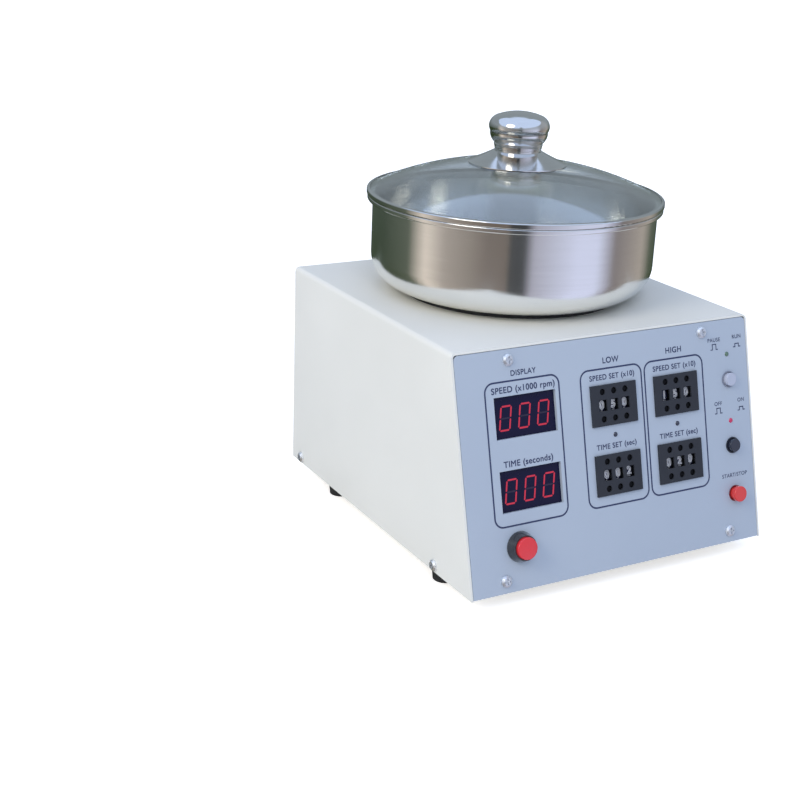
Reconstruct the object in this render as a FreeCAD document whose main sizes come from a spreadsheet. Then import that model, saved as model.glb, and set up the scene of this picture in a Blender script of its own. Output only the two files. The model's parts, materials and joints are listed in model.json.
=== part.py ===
"""Bench-top spin coater: a vacuum spinner with two timed speeds, in a sloping-front sheet-metal case.

A spun steel bowl with a glass lid stands on the case. Under it hangs a motor whose hollow shaft carries the
vacuum chuck. The sloping panel holds two displays, four three-digit pushwheel switches, the lamps and four
push buttons. All lengths are millimetres. +Z is up and the front faces -Y. The origin lies on the bench,
under the middle of the outline.
"""
import FreeCAD
import Part

import os
import re

import Sketcher

SIZES = {
    # case
    "case_width": 210,
    "case_depth": 236,
    "case_height": 134,
    "top_setback": 36,  # the top front edge lies this far behind the bottom one
    "spin_shift": 4,  # the spin axis lies this far behind the middle of the case top
    "sheet_gauge": 1.2,
    "bend_radius": 3,
    "panel_thick": 2,
    "fit_gap": 0.3,
    "tab_height": 12,
    "tab_width": 18,
    "pan_lip": 13,
    "flange_height": 14,
    "vent_length": 34,
    "vent_width": 3,
    "vent_pitch": 8,
    # M3 screws, and the M4 ones that hold the bowl and the motor
    "small_thread": 1.5,
    "small_length": 8,
    "small_head": 3.4,
    "small_head_rise": 2,
    "large_thread": 2,
    "large_length": 10,
    "large_head": 3.9,
    "large_head_rise": 2.4,
    "hole_ease": 0.2,
    "cross_width": 1,
    "cross_reach": 2,
    "cross_depth": 1.1,
    "top_screw_inset": 36,
    "top_screw_drop": 7.5,
    "low_screw_inset": 23.5,
    "low_screw_rise": 7.6,
    "side_screw_front": 42,
    "side_screw_rear": 14,
    "side_screw_rise": 4.2,
    # feet
    "foot_height": 10,
    "foot_base": 7.3,
    "foot_top": 8.5,
    "foot_web": 4,
    "foot_well": 4.2,
    "foot_inset_x": 12.5,
    "foot_inset_y": 49.5,
    # bowl
    "gasket_inset": 0.5,
    "gasket_bore": 15,
    "gasket_thick": 3,
    "bowl_radius": 88.5,
    "bowl_wall": 1,
    "bowl_height": 55.6,
    "bowl_corner": 19,
    "bead_reach": 3.3,
    "bead_height": 3.1,
    "bead_round": 0.8,
    "collar_bore": 11,
    "collar_height": 7.5,
    "shaft_hole": 13,
    "bowl_screw_ring": 45,
    "bowl_screw_turn": 90,
    # lid
    "lid_gap": 0.1,
    "glass_reach": 2.7,
    "glass_thick": 2,
    "glass_rise": 20.35,
    "lid_crown": 23.1,
    "glass_bore": 3.2,
    "band_edge": 1.1,
    "band_height": 3.3,
    "band_wall": 0.45,
    "band_round": 0.7,
    "band_cover": 0.8,
    "seat_ease": 0.5,
    "seat_depth": 4.5,
    "skirt_radius": 30.3,
    "skirt_neck": 14.8,
    "skirt_wall": 0.9,
    "skirt_height": 7.8,
    "knob_neck": 14.3,
    "knob_collar_rise": 4.2,
    "knob_waist": 17.9,
    "knob_radius": 18.7,
    "knob_waist_rise": 11.6,
    "knob_wide_rise": 14.6,
    "knob_height": 23.8,
    "knob_shoulder": 7,
    "knob_groove": 0.8,
    "knob_screw_radius": 2.5,
    "knob_screw_bite": 10,
    "knob_screw_head": 5,
    "knob_washer": 8,
    # motor, chuck and vacuum line
    "plate_radius": 54,
    "plate_thick": 5,
    "plate_bore": 12,
    "motor_screw_ring": 23,
    "motor_screw_turn": 30,
    "motor_screw_sink": 2.6,
    "motor_radius": 30,
    "motor_wall": 3,
    "motor_length": 55,
    "motor_crown": 2,
    "cap_thick": 3,
    "stator_bore": 20.5,
    "stator_inset": 7,
    "rotor_radius": 19.8,
    "rotor_inset": 2,
    "bearing_radius": 11,
    "bearing_width": 7,
    "shaft_radius": 4,
    "shaft_bore": 1.25,
    "running_fit": 0.03,
    "chuck_level": 31,  # wafer seat above the bowl's underside
    "chuck_radius": 24,
    "chuck_thick": 4,
    "chuck_chamfer": 1.5,
    "chuck_web": 6,
    "hub_radius": 8,
    "hub_height": 18,
    "slinger_bore": 14,
    "slinger_wall": 1.5,
    "slinger_reach": 26,
    "vacuum_hole": 1.5,
    "groove_inner": 9,
    "groove_outer": 17,
    "groove_width": 1,
    "groove_depth": 0.8,
    "ring_section": 0.75,
    "ring_level": 12,
    "union_radius": 9,
    "union_height": 12,
    "union_barb": 12,
    "barb_radius": 2.5,
    "hose_wall": 1.5,
    "valve_width": 24,
    "valve_depth": 28,
    "valve_height": 24,
    "coil_height": 18,
    "coil_inset": 3,
    "spigot_reach": 20,
    "spigot_radius": 4,
    "spigot_hex": 7,
    "spigot_hex_thick": 4,
    "spigot_shank": 5,
    "spigot_bite": 8,
    # mains inlet and circuit board
    "inlet_inset": 45,
    "inlet_rise": 31,
    "inlet_flange_width": 50,
    "inlet_flange_height": 26,
    "inlet_flange_thick": 3,
    "inlet_corner": 4,
    "inlet_body_width": 27.4,
    "inlet_body_height": 20,
    "inlet_body_depth": 20,
    "inlet_wall": 1.5,
    "inlet_cavity_depth": 17,
    "inlet_chamfer": 4,
    "inlet_screw_span": 40,
    "pin_width": 2,
    "pin_tall": 4,
    "pin_length": 12,
    "pin_span": 14,
    "pin_offset": 4,
    "board_width": 150,
    "board_depth": 100,
    "board_front": 58,
    "board_thick": 1.6,
    "board_edge": 5,
    "post_radius": 3,
    "post_height": 8,
    "post_pin": 1.3,
    "core_width": 46,
    "core_depth": 40,
    "core_height": 34,
    "tank_radius": 6,
    "tank_height": 20,
    "tank_pitch": 16,
    # front panel fittings
    "window_width": 41.3,
    "window_height": 23.8,
    "display_inset": 45.6,
    "upper_window": 99.2,
    "lower_window": 57.6,
    "filter_margin": 2,
    "filter_thick": 1,
    "module_width": 37.6,
    "module_height": 19,
    "module_depth": 8,
    "card_width": 46,
    "card_height": 80,
    "card_post": 2,
    "lamp_radius": 1.5,
    "lamp_flange": 1.9,
    "lamp_length": 7,
    "lamp_rise": 0.9,
    "wheel_low_x": 1,
    "wheel_high_x": 46.9,
    "upper_wheels": 97.2,
    "lower_wheels": 56.4,
    "stage_lamp_level": 79.2,
    "button_inset": 17,
    "green_lamp_level": 116,
    "red_lamp_level": 75.2,
    "pause_level": 100.6,
    "vacuum_level": 60,
    "start_level": 30,
    "power_inset": 34.7,
    "power_level": 25.5,
    # pushwheel switches
    "block_width": 31,
    "block_height": 22,
    "block_depth": 21.5,
    "rim_width": 32.3,
    "rim_height": 24,
    "rim_rise": 1.3,
    "face_wall": 0.9,
    "digit_pitch": 8.1,
    "cell_width": 7.4,
    "cell_wall": 1,
    "back_wall": 1.5,
    "view_width": 5.6,
    "view_height": 6.6,
    "key_spacing": 8,
    "key_hole": 1.9,
    "key_radius": 1.4,
    "key_sink": 0.9,
    "rocker_width": 6.8,
    "rocker_height": 19,
    "rocker_thick": 1,
    "rocker_pivot": 1.3,
    "rocker_view_width": 5.6,
    "rocker_view_height": 7.2,
    "trunnion_radius": 0.45,
    "trunnion_length": 0.55,
    "trunnion_ease": 0.15,
    "wheel_radius": 8.5,
    "wheel_width": 6.4,
    "wheel_depth": 10.6,
    "wheel_rim": 1.2,
    "wheel_recess": 1.7,
    "axle_radius": 1.5,
    "axle_ease": 0.05,
    # push buttons
    "barrel_radius": 4.7,
    "barrel_length": 18,
    "bezel_radius": 5,
    "bezel_rise": 0.6,
    "well_depth": 2.6,
    "cap_radius": 4,
    "cap_gap": 0.3,
    "cap_rise": 3.2,
    "stem_radius": 2.1,
    "stem_length": 12,
    "stem_room": 3,
    "head_radius": 4.8,
    "head_under": 2.9,
    "head_rise": 5.2,
    "cap_round": 0.6,
    "nut_half": 6.5,
    "nut_thick": 2.5,
    "power_bezel": 9,
    "power_bezel_step": 0.8,
    "power_bezel_lip": 7.3,
    "power_bezel_rise": 6,
    "power_barrel": 8,
    "power_length": 24,
    "power_cap": 6.4,
    "power_cap_rise": 8.2,
    "power_cap_root": 4,
    "power_well": 8,
    "power_nut_half": 11,
}

# Lengths worked out from the sizes above. Each name stands for its formula wherever a formula uses it.
WORKED_OUT = {
    "slope": "sqrt(top_setback^2 + case_height^2)",
    "sin_lean": "top_setback / slope",
    "cos_lean": "case_height / slope",
    "tilt": "atan(case_height / top_setback)",
    "front_reach": "power_cap_rise * cos_lean - (power_level - power_cap) * sin_lean",
    "front_y": "(front_reach - case_depth - spigot_reach) / 2",
    "back_y": "front_y + case_depth",
    "case_top": "foot_height + case_height",
    "spin_inset": "(top_setback + case_depth) / 2 + spin_shift",
    "spin_y": "front_y + spin_inset",
    "inner_half": "case_width / 2 - sheet_gauge - fit_gap",
    "inner_height": "case_height - sheet_gauge - fit_gap",
    "top_screw_x": "(case_width / 2 - top_screw_inset)",
    "low_screw_x": "(case_width / 2 - low_screw_inset)",
    "display_x": "display_inset - case_width / 2",
    "power_x": "power_inset - case_width / 2",
    "inlet_x": "inlet_inset - case_width / 2",
    "button_x": "case_width / 2 - button_inset",
    "small_hole": "small_thread + hole_ease",
    "large_hole": "large_thread + hole_ease",
    "gasket_radius": "bowl_radius - bowl_corner - gasket_inset",
    "bead_radius": "bowl_radius + bead_reach",
    "glass_radius": "bowl_radius + glass_reach",
    "band_radius": "glass_radius + band_edge",
    "band_lip": "glass_radius - band_cover",
    "bowl_base": "case_top + gasket_thick",
    "lid_base": "bowl_base + bowl_height + lid_gap",
    "plate_top": "case_top - sheet_gauge",
    "motor_top": "plate_top - plate_thick",
    "motor_bell": "motor_crown + bearing_width",
    "chuck_top": "bowl_base + chuck_level",
    "vacuum_drop": "motor_length + cap_thick + union_height * 2 / 3",
    "vacuum_z": "motor_top - vacuum_drop",
    "valve_front": "back_y - sheet_gauge - valve_depth",
    "top_screw_level": "slope - top_screw_drop",
    "dome_radius": "(glass_radius^2 + glass_rise^2) / (2 * glass_rise)",
    "dome_centre": "lid_crown - dome_radius",
    "dome_inner": "dome_radius - glass_thick",
    "skirt_seat": "dome_centre + sqrt(dome_radius^2 - (skirt_radius - skirt_wall)^2) + lid_gap",
    "skirt_top": "skirt_seat + skirt_height",
    "board_level": "sheet_gauge + post_height",
    "card_centre": "(upper_window + lower_window) / 2",
    "cell_floor": "block_depth - back_wall",
    "rocker_back": "rocker_pivot + rocker_thick / 2",
}

BUTTONS = {"pause_button": "pause_level", "vacuum_button": "vacuum_level", "start_button": "start_level"}
LAMPS = [
    ("wheel_low_x", "stage_lamp_level"),
    ("wheel_high_x", "stage_lamp_level"),
    ("button_x", "green_lamp_level"),
    ("button_x", "red_lamp_level"),
]
PUSHWHEELS = {
    "low_speed": ("wheel_low_x", "upper_wheels"),
    "low_time": ("wheel_low_x", "lower_wheels"),
    "high_speed": ("wheel_high_x", "upper_wheels"),
    "high_time": ("wheel_high_x", "lower_wheels"),
}
DIGITS = {"hundreds": "-digit_pitch", "tens": "0", "units": "digit_pitch"}

doc = FreeCAD.newDocument("spin_coater")
sheet = doc.addObject("Spreadsheet::Sheet", "sizes")
for row, (alias, size) in enumerate(SIZES.items(), start=1):
    sheet.set(f"A{row}", alias)
    sheet.set(f"B{row}", str(size))
    sheet.setAlias(f"B{row}", alias)
doc.recompute()

sub_parts = []


# ---- formulas ----


def formula(text):
    """Write out the worked-out names of a formula and point the rest at the sheet."""

    def written_out(match):
        word = match.group(0)
        if word in WORKED_OUT:
            return "(" + formula(WORKED_OUT[word]) + ")"
        return "<<sizes>>." + word if word in SIZES else word

    return re.sub(r"[A-Za-z_]\w*", written_out, str(text))


def number(text):
    """The value that a formula has now."""
    answer = sheet.evalExpression(formula(text))
    return float(getattr(answer, "Value", answer))


def on_circle(radius, degrees):
    """The x and y formulas of a point on a circle about the origin."""
    return f"({radius}) * cos({degrees})", f"({radius}) * sin({degrees})"


def on_slope(level, depth):
    """The y and z formulas of a point this far up the sloping front and this deep behind its face."""
    return f"({level}) * sin_lean + ({depth}) * cos_lean", f"({level}) * cos_lean - ({depth}) * sin_lean"


def on_slope_at(height, depth):
    """The same, for the point of that depth line that lies at a given height."""
    return on_slope(f"(({height}) + ({depth}) * sin_lean) / cos_lean", depth)


# ---- bodies, sketches and features ----


def place(thing, x="0", y="0", z="0", turn=None):
    """Bind a sub-part's place, and its turn about X, to the sheet."""
    if turn is not None:
        thing.Placement = FreeCAD.Placement(FreeCAD.Vector(), FreeCAD.Vector(1, 0, 0), number(turn))
        thing.setExpression("Placement.Rotation.Angle", formula(turn))
    for axis, text in zip("xyz", (x, y, z)):
        thing.setExpression(f"Placement.Base.{axis}", formula(text))


def panel_place(across, level, out="0"):
    """Where a point of the sloping panel is: across from its middle, up the slope and out of its face."""
    y, z = on_slope(level, f"-({out})")
    return {"x": across, "y": f"front_y + {y}", "z": f"foot_height + {z}", "turn": "tilt"}


def body(label, x="0", y="0", z="0", turn=None, keep=True):
    """Start a sub-part. One that isn't kept is a pattern that copies are made from."""
    made = doc.addObject("PartDesign::Body", label)
    made.Label = label
    place(made, x, y, z, turn)
    if keep:
        sub_parts.append(made)
    return made


def origin_feature(owner, role):
    return next(item for item in owner.Origin.OriginFeatures if item.Role == role)


def sketch(owner, plane, lift="0", turn=None):
    """A sketch on one of the body's own planes, lifted along its normal or turned about X."""
    made = owner.newObject("Sketcher::SketchObject", f"{owner.Name}_sketch")
    made.AttachmentSupport = [(origin_feature(owner, f"{plane}_Plane"), "")]
    made.MapMode = "FlatFace"
    if turn is not None:
        made.AttachmentOffset = FreeCAD.Placement(FreeCAD.Vector(), FreeCAD.Vector(1, 0, 0), number(turn))
        made.setExpression("AttachmentOffset.Rotation.Angle", formula(turn))
    made.setExpression("AttachmentOffset.Base.z", formula(lift))
    return made


def arc_middle(start, end, radius):
    """The middle of the short arc between two points: counter-clockwise, or clockwise if the radius is negative."""
    chord = end - start
    side = FreeCAD.Vector(-chord.y, chord.x, 0).normalize() * (1 if radius > 0 else -1)
    reach = abs(radius)
    rise = reach - max(reach**2 - chord.Length**2 / 4, 0) ** 0.5
    return (start + end) / 2 - side * rise


def outline(drawn, corners):
    """Close a loop through corners, each (x, y), or (x, y, radius) where an arc arrives at it."""
    points = [FreeCAD.Vector(number(c[0]), number(c[1]), 0) for c in corners]
    first = drawn.GeometryCount
    ends = []
    for index, (corner, start) in enumerate(zip(corners, points)):
        following = corners[(index + 1) % len(corners)]
        end = points[(index + 1) % len(points)]
        if len(following) > 2:
            radius = number(following[2])
            drawn.addGeometry(Part.Arc(start, arc_middle(start, end, radius), end), False)
            ends.append((1, 2) if radius > 0 else (2, 1))
        else:
            drawn.addGeometry(Part.LineSegment(start, end), False)
            ends.append((1, 2))
    for index, corner in enumerate(corners):
        here = first + index
        after = first + (index + 1) % len(corners)
        drawn.addConstraint(
            Sketcher.Constraint("Coincident", here, ends[index][1], after, ends[(index + 1) % len(corners)][0])
        )
        for kind, text, value in zip(("DistanceX", "DistanceY"), corner, (points[index].x, points[index].y)):
            rule = drawn.addConstraint(Sketcher.Constraint(kind, -1, 1, here, ends[index][0], value))
            drawn.setExpression(f"Constraints[{rule}]", formula(text))
        following = corners[(index + 1) % len(corners)]
        if len(following) > 2:
            rule = drawn.addConstraint(Sketcher.Constraint("Radius", here, abs(number(following[2]))))
            drawn.setExpression(f"Constraints[{rule}]", formula(f"abs({following[2]})"))


def circle(drawn, radius, x="0", y="0"):
    centre = FreeCAD.Vector(number(x), number(y), 0)
    index = drawn.addGeometry(Part.Circle(centre, FreeCAD.Vector(0, 0, 1), number(radius)), False)
    rules = [("Radius", (index,), radius)]
    rules += [("DistanceX", (-1, 1, index, 3), x), ("DistanceY", (-1, 1, index, 3), y)]
    for kind, where, text in rules:
        rule = drawn.addConstraint(Sketcher.Constraint(kind, *where, number(text)))
        drawn.setExpression(f"Constraints[{rule}]", formula(text))


def rectangle(drawn, width, height, x="0", y="0"):
    """A rectangle about a centre."""
    left, right = f"({x}) - ({width}) / 2", f"({x}) + ({width}) / 2"
    low, high = f"({y}) - ({height}) / 2", f"({y}) + ({height}) / 2"
    outline(drawn, [(left, low), (right, low), (right, high), (left, high)])


def hexagon(drawn, half_across, x="0", y="0"):
    """A hexagon with flats this far from its centre."""
    corners = [on_circle(f"({half_across}) / cos(30)", 60 * step) for step in range(6)]
    outline(drawn, [(f"({x}) + {dx}", f"({y}) + {dy}") for dx, dy in corners])


def feature(owner, kind, drawn, length=None, back=False, both=False, through=False):
    made = owner.newObject(f"PartDesign::{kind}", f"{owner.Name}_{kind.lower()}")
    made.Profile = drawn
    made.Reversed = back
    if both:
        made.SideType = "Symmetric"
    if through:
        made.Type = "ThroughAll"
    if length is not None:
        made.setExpression("Length", formula(length))
    return made


def pad(owner, drawn, length, **options):
    return feature(owner, "Pad", drawn, length, **options)


def pocket(owner, drawn, length=None, **options):
    """Cut a sketch out of the body, and make sure that something is cut."""
    doc.recompute()
    before = owner.Shape.Volume
    made = feature(owner, "Pocket", drawn, length, through=length is None, **options)
    doc.recompute()
    if owner.Shape.Volume >= before:
        raise RuntimeError(f"a pocket of {owner.Label} cuts nothing")
    return made


def turned(owner, corners, plane="XZ", axis="V_Axis"):
    """Revolve a profile, given as (radius, height) corners, about the body's Z axis."""
    drawn = sketch(owner, plane)
    outline(drawn, corners)
    made = owner.newObject("PartDesign::Revolution", f"{owner.Name}_turned")
    made.Profile = drawn
    made.ReferenceAxis = (drawn, [axis])
    made.Angle = 360
    return made


def repeated(owner, kind, original, **settings):
    """A pattern or a mirror of one feature, which becomes the body's tip."""
    doc.recompute()
    made = owner.newObject(f"PartDesign::{kind}", f"{owner.Name}_{kind.lower()}")
    made.Originals = [original]
    for name, value in settings.items():
        if isinstance(value, str):
            made.setExpression(name, formula(value))
        else:
            setattr(made, name, value)
    owner.Tip = made
    return made


def three_holes(owner, radius, ring, start, lift="0", length=None):
    """Three holes evenly round the body's Z axis."""
    drawn = sketch(owner, "XY", lift)
    circle(drawn, radius, *on_circle(ring, start))
    hole = pocket(owner, drawn, length, both=length is None)
    axis = (origin_feature(owner, "Z_Axis"), [""])
    repeated(owner, "PolarPattern", hole, Axis=axis, Angle=360.0, Occurrences=3)


def copies(label, pattern, places):
    """One sub-part that is a group of separate solids: the pattern body's shape, set at each place."""
    doc.recompute()
    solids = []
    for spot in places:
        solid = pattern.Shape.copy()
        solid.Placement = spot
        solids.append(solid)
    group = doc.addObject("Part::Feature", label)
    group.Label = label
    group.Shape = Part.makeCompound(solids)
    sub_parts.append(group)
    return group


def spot(x="0", y="0", z="0", turn="0", axis=(1, 0, 0)):
    """A fixed place for a copy, worked out from the sheet."""
    where = FreeCAD.Vector(number(x), number(y), number(z))
    return FreeCAD.Placement(where, FreeCAD.Rotation(FreeCAD.Vector(*axis), number(turn)))


def panel_spot(across, level, out="0"):
    return spot(**panel_place(across, level, out))


# ---- case ----


def case_cover():
    """The painted wrap: top and both sides from one sheet, with two folded tabs behind the panel's top edge."""
    cover = body("case_cover", y="front_y", z="foot_height")
    half, inside = "case_width / 2", "case_width / 2 - sheet_gauge"
    bend, inner_bend = "bend_radius", "bend_radius - sheet_gauge"
    section = sketch(cover, "XZ")
    outline(
        section,
        [
            (f"-({half})", "0"),
            (f"-({half})", f"case_height - {bend}"),
            (f"-({half}) + {bend}", "case_height", f"-{bend}"),
            (f"{half} - {bend}", "case_height"),
            (half, f"case_height - {bend}", f"-{bend}"),
            (half, "0"),
            (inside, "0"),
            (inside, f"case_height - {bend}"),
            (f"{half} - {bend}", "case_height - sheet_gauge", inner_bend),
            (f"-({half}) + {bend}", "case_height - sheet_gauge"),
            (f"-({inside})", f"case_height - {bend}", inner_bend),
            (f"-({inside})", "0"),
        ],
    )
    pad(cover, section, "case_depth", back=True)
    slant = sketch(cover, "YZ")
    ahead = "-sheet_gauge"
    over = "case_height + sheet_gauge"
    outline(slant, [("0", "0"), ("top_setback", "case_height"), ("top_setback", over), (ahead, over), (ahead, "0")])
    pocket(cover, slant, both=True)
    front, back = "panel_thick", "panel_thick + sheet_gauge"
    root = "case_height - sheet_gauge / 2"
    low = "slope - tab_height"
    tab = sketch(cover, "YZ", "top_screw_x - tab_width / 2")
    outline(tab, [on_slope(low, front), on_slope(low, back), on_slope_at(root, back), on_slope_at(root, front)])
    right_tab = pad(cover, tab, "tab_width")
    repeated(cover, "Mirrored", right_tab, MirrorPlane=(origin_feature(cover, "YZ_Plane"), [""]))
    tab_holes = sketch(cover, "XY", turn="tilt")
    for side in ("-", ""):
        circle(tab_holes, "small_thread", f"{side}top_screw_x", "top_screw_level")
    pocket(cover, tab_holes, f"{back} + sheet_gauge")
    side_holes = sketch(cover, "YZ")
    for along in ("side_screw_front", "case_depth - side_screw_rear"):
        circle(side_holes, "small_hole", along, "side_screw_rise")
    pocket(cover, side_holes, both=True)
    top_holes = sketch(cover, "XY", "case_height")
    circle(top_holes, "shaft_hole", "0", "spin_inset")
    for step in range(3):
        x, y = on_circle("bowl_screw_ring", f"bowl_screw_turn + {step} * 360 / 3")
        circle(top_holes, "large_hole", x, f"spin_inset + {y}")
    pocket(cover, top_holes, "2 * sheet_gauge")


def chassis_pan():
    """The inner tray: front lip, bottom and rear wall from one sheet, with side flanges and board posts."""
    pan = body("chassis_pan", y="front_y", z="foot_height")
    front, back = "panel_thick", "panel_thick + sheet_gauge"
    section = sketch(pan, "YZ")
    outline(
        section,
        [
            on_slope_at("0", front),
            on_slope("pan_lip", front),
            on_slope("pan_lip", back),
            on_slope_at("sheet_gauge", back),
            ("case_depth - sheet_gauge", "sheet_gauge"),
            ("case_depth - sheet_gauge", "inner_height"),
            ("case_depth", "inner_height"),
            ("case_depth", "0"),
        ],
    )
    pad(pan, section, "2 * inner_half", both=True)
    flange = sketch(pan, "YZ", "inner_half")
    outline(
        flange,
        [
            on_slope_at("0", front),
            on_slope_at("flange_height", front),
            ("case_depth", "flange_height"),
            ("case_depth", "0"),
        ],
    )
    side = pad(pan, flange, "sheet_gauge", back=True)
    repeated(pan, "Mirrored", side, MirrorPlane=(origin_feature(pan, "YZ_Plane"), [""]))
    side_holes = sketch(pan, "YZ")
    for along in ("side_screw_front", "case_depth - side_screw_rear"):
        circle(side_holes, "small_thread", along, "side_screw_rise")
    pocket(pan, side_holes, both=True)
    lip_holes = sketch(pan, "XY", turn="tilt")
    for sign in ("-", ""):
        circle(lip_holes, "small_thread", f"{sign}low_screw_x", "low_screw_rise")
    pocket(pan, lip_holes, f"{back} + sheet_gauge")
    foot_holes = sketch(pan, "XY", "sheet_gauge")
    for x, y in foot_places():
        circle(foot_holes, "small_thread", x, y)
    pocket(pan, foot_holes, "2 * sheet_gauge")
    rear = sketch(pan, "XZ", "-(case_depth - 2 * sheet_gauge)")
    rectangle(rear, "inlet_body_width + fit_gap", "inlet_body_height + fit_gap", "inlet_x", "inlet_rise")
    for sign in ("-", "+"):
        circle(rear, "small_thread", f"inlet_x {sign} inlet_screw_span / 2", "inlet_rise")
    circle(rear, "spigot_shank", "0", "vacuum_z - foot_height")
    relief = "bend_radius - sheet_gauge"
    for sign in ("-", ""):
        corner = (f"{sign}(inner_half + {relief})", f"inner_height + {relief}")
        outline(rear, [(f"{sign}(inner_half - {relief})", corner[1]), corner, (corner[0], f"inner_height - {relief}")])
    pocket(pan, rear, "3 * sheet_gauge")
    vents = sketch(pan, "XY", "sheet_gauge")
    for step in range(6):
        level = f"spin_inset + ({step} - 2.5) * vent_pitch + board_depth / 2"
        rectangle(vents, "vent_length", "vent_width", "0", level)
    pocket(pan, vents, "2 * sheet_gauge")
    posts = sketch(pan, "XY", "sheet_gauge / 2")
    pins = sketch(pan, "XY", "sheet_gauge")
    for x, y in board_corners():
        circle(posts, "post_radius", x, f"board_front + {y}")
        circle(pins, "post_pin", x, f"board_front + {y}")
    pad(pan, posts, "post_height + sheet_gauge / 2")
    pad(pan, pins, "post_height + 2 * board_thick")


def foot_places():
    """The feet's x and y, from the middle and from the case's front edge."""
    across = "(case_width / 2 - foot_inset_x)"
    return [(f"{s}{across}", y) for s in ("-", "") for y in ("foot_inset_y", "case_depth - foot_inset_y")]


def board_corners():
    """The board's fixing holes, from the middle of its front edge."""
    across = "(board_width / 2 - board_edge)"
    return [(f"{s}{across}", y) for s in ("-", "") for y in ("board_edge", "board_depth - board_edge")]


def front_panel():
    """The flat plate in the sloping front, with its openings and the posts of the display card."""
    panel = body("front_panel", **panel_place("0", "0"))
    top = "inner_height / cos_lean"
    low = "panel_thick * sin_lean / cos_lean"
    half, bend = "inner_half", "bend_radius"
    plate = sketch(panel, "XY")
    outline(
        plate,
        [
            (f"-({half})", low),
            (half, low),
            (half, f"{top} - {bend}"),
            (f"{half} - {bend}", top, bend),
            (f"-({half}) + {bend}", top),
            (f"-({half})", f"{top} - {bend}", bend),
        ],
    )
    pad(panel, plate, "panel_thick", back=True)
    windows = sketch(panel, "XY")
    for level in ("upper_window", "lower_window"):
        rectangle(windows, "window_width", "window_height", "display_x", level)
    for across, level in PUSHWHEELS.values():
        rectangle(windows, "block_width + fit_gap", "block_height + fit_gap", across, level)
    pocket(panel, windows)
    holes = sketch(panel, "XY")
    for sign in ("-", ""):
        circle(holes, "small_hole", f"{sign}top_screw_x", "top_screw_level")
        circle(holes, "small_hole", f"{sign}low_screw_x", "low_screw_rise")
    for across, level in LAMPS:
        circle(holes, "lamp_radius", across, level)
    for level in BUTTONS.values():
        circle(holes, "barrel_radius", "button_x", level)
    circle(holes, "power_barrel", "power_x", "power_level")
    pocket(panel, holes)
    posts = sketch(panel, "XY", "-panel_thick")
    for across, level in card_corners():
        circle(posts, "card_post", across, level)
    pad(panel, posts, "filter_thick + module_depth", back=True)


def card_corners():
    """The display card's fixing places on the panel."""
    dx, dy = "(card_width / 2 - card_post)", "(card_height / 2 + card_post / 2)"
    return [(f"display_x {s} {dx}", f"card_centre {u} {dy}") for s in "-+" for u in "-+"]


def pan_head_screw(label, thread, length, head, rise):
    """A cross-recess pan-head screw whose head rests on z = 0."""
    screw = body(label, keep=False)
    turned(
        screw,
        [
            ("0", f"-{length}"),
            (thread, f"-{length}"),
            (thread, "0"),
            (head, "0"),
            (head, f"{rise} / 2"),
            (f"{head} * 2 / 3", rise),
            ("0", rise),
        ],
    )
    recess = sketch(screw, "XY", rise)
    w, r = "cross_width / 2", "cross_reach"
    arm = [(w, r), (w, w), (r, w), (r, f"-{w}"), (w, f"-{w}"), (w, f"-{r}")]
    far = [(f"-{x}", y.replace("-", "") if y.startswith("-") else f"-{y}") for x, y in arm]
    outline(recess, arm + far)
    pocket(screw, recess, "cross_depth")
    return screw


def case_screws():
    """The M3 screws of the panel, the cover's sides, the feet and the mains inlet."""
    screw = pan_head_screw("small_screw", "small_thread", "small_length", "small_head", "small_head_rise")
    places = []
    for sign in ("-", ""):
        places.append(panel_spot(f"{sign}top_screw_x", "top_screw_level"))
        places.append(panel_spot(f"{sign}low_screw_x", "low_screw_rise"))
        for along in ("side_screw_front", "case_depth - side_screw_rear"):
            side = {"x": f"{sign}case_width / 2", "y": f"front_y + {along}", "z": "foot_height + side_screw_rise"}
            places.append(spot(**side, turn=f"{sign}90", axis=(0, 1, 0)))
        rear = {"x": f"inlet_x + {sign}inlet_screw_span / 2", "y": "back_y + inlet_flange_thick"}
        places.append(spot(**rear, z="foot_height + inlet_rise", turn="-90"))
    for x, y in foot_places():
        places.append(spot(x, f"front_y + {y}", "foot_height - foot_web", turn="180"))
    copies("case_screws", screw, places)


def rubber_feet():
    foot = body("rubber_foot", keep=False)
    well = "foot_height - foot_web"
    turned(
        foot,
        [
            ("foot_well", "0"),
            ("foot_base", "0"),
            ("foot_top", "foot_height"),
            ("small_hole", "foot_height"),
            ("small_hole", well),
            ("foot_well", well),
        ],
    )
    copies("rubber_feet", foot, [spot(x, f"front_y + {y}") for x, y in foot_places()])


# ---- bowl and lid ----


def bowl_gasket():
    """The soft ring that seals the bowl to the case top."""
    gasket = body("bowl_gasket", y="spin_y", z="case_top")
    ring = sketch(gasket, "XY")
    circle(ring, "gasket_radius")
    circle(ring, "gasket_bore")
    pad(gasket, ring, "gasket_thick")
    three_holes(gasket, "large_hole", "bowl_screw_ring", "bowl_screw_turn")


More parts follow.
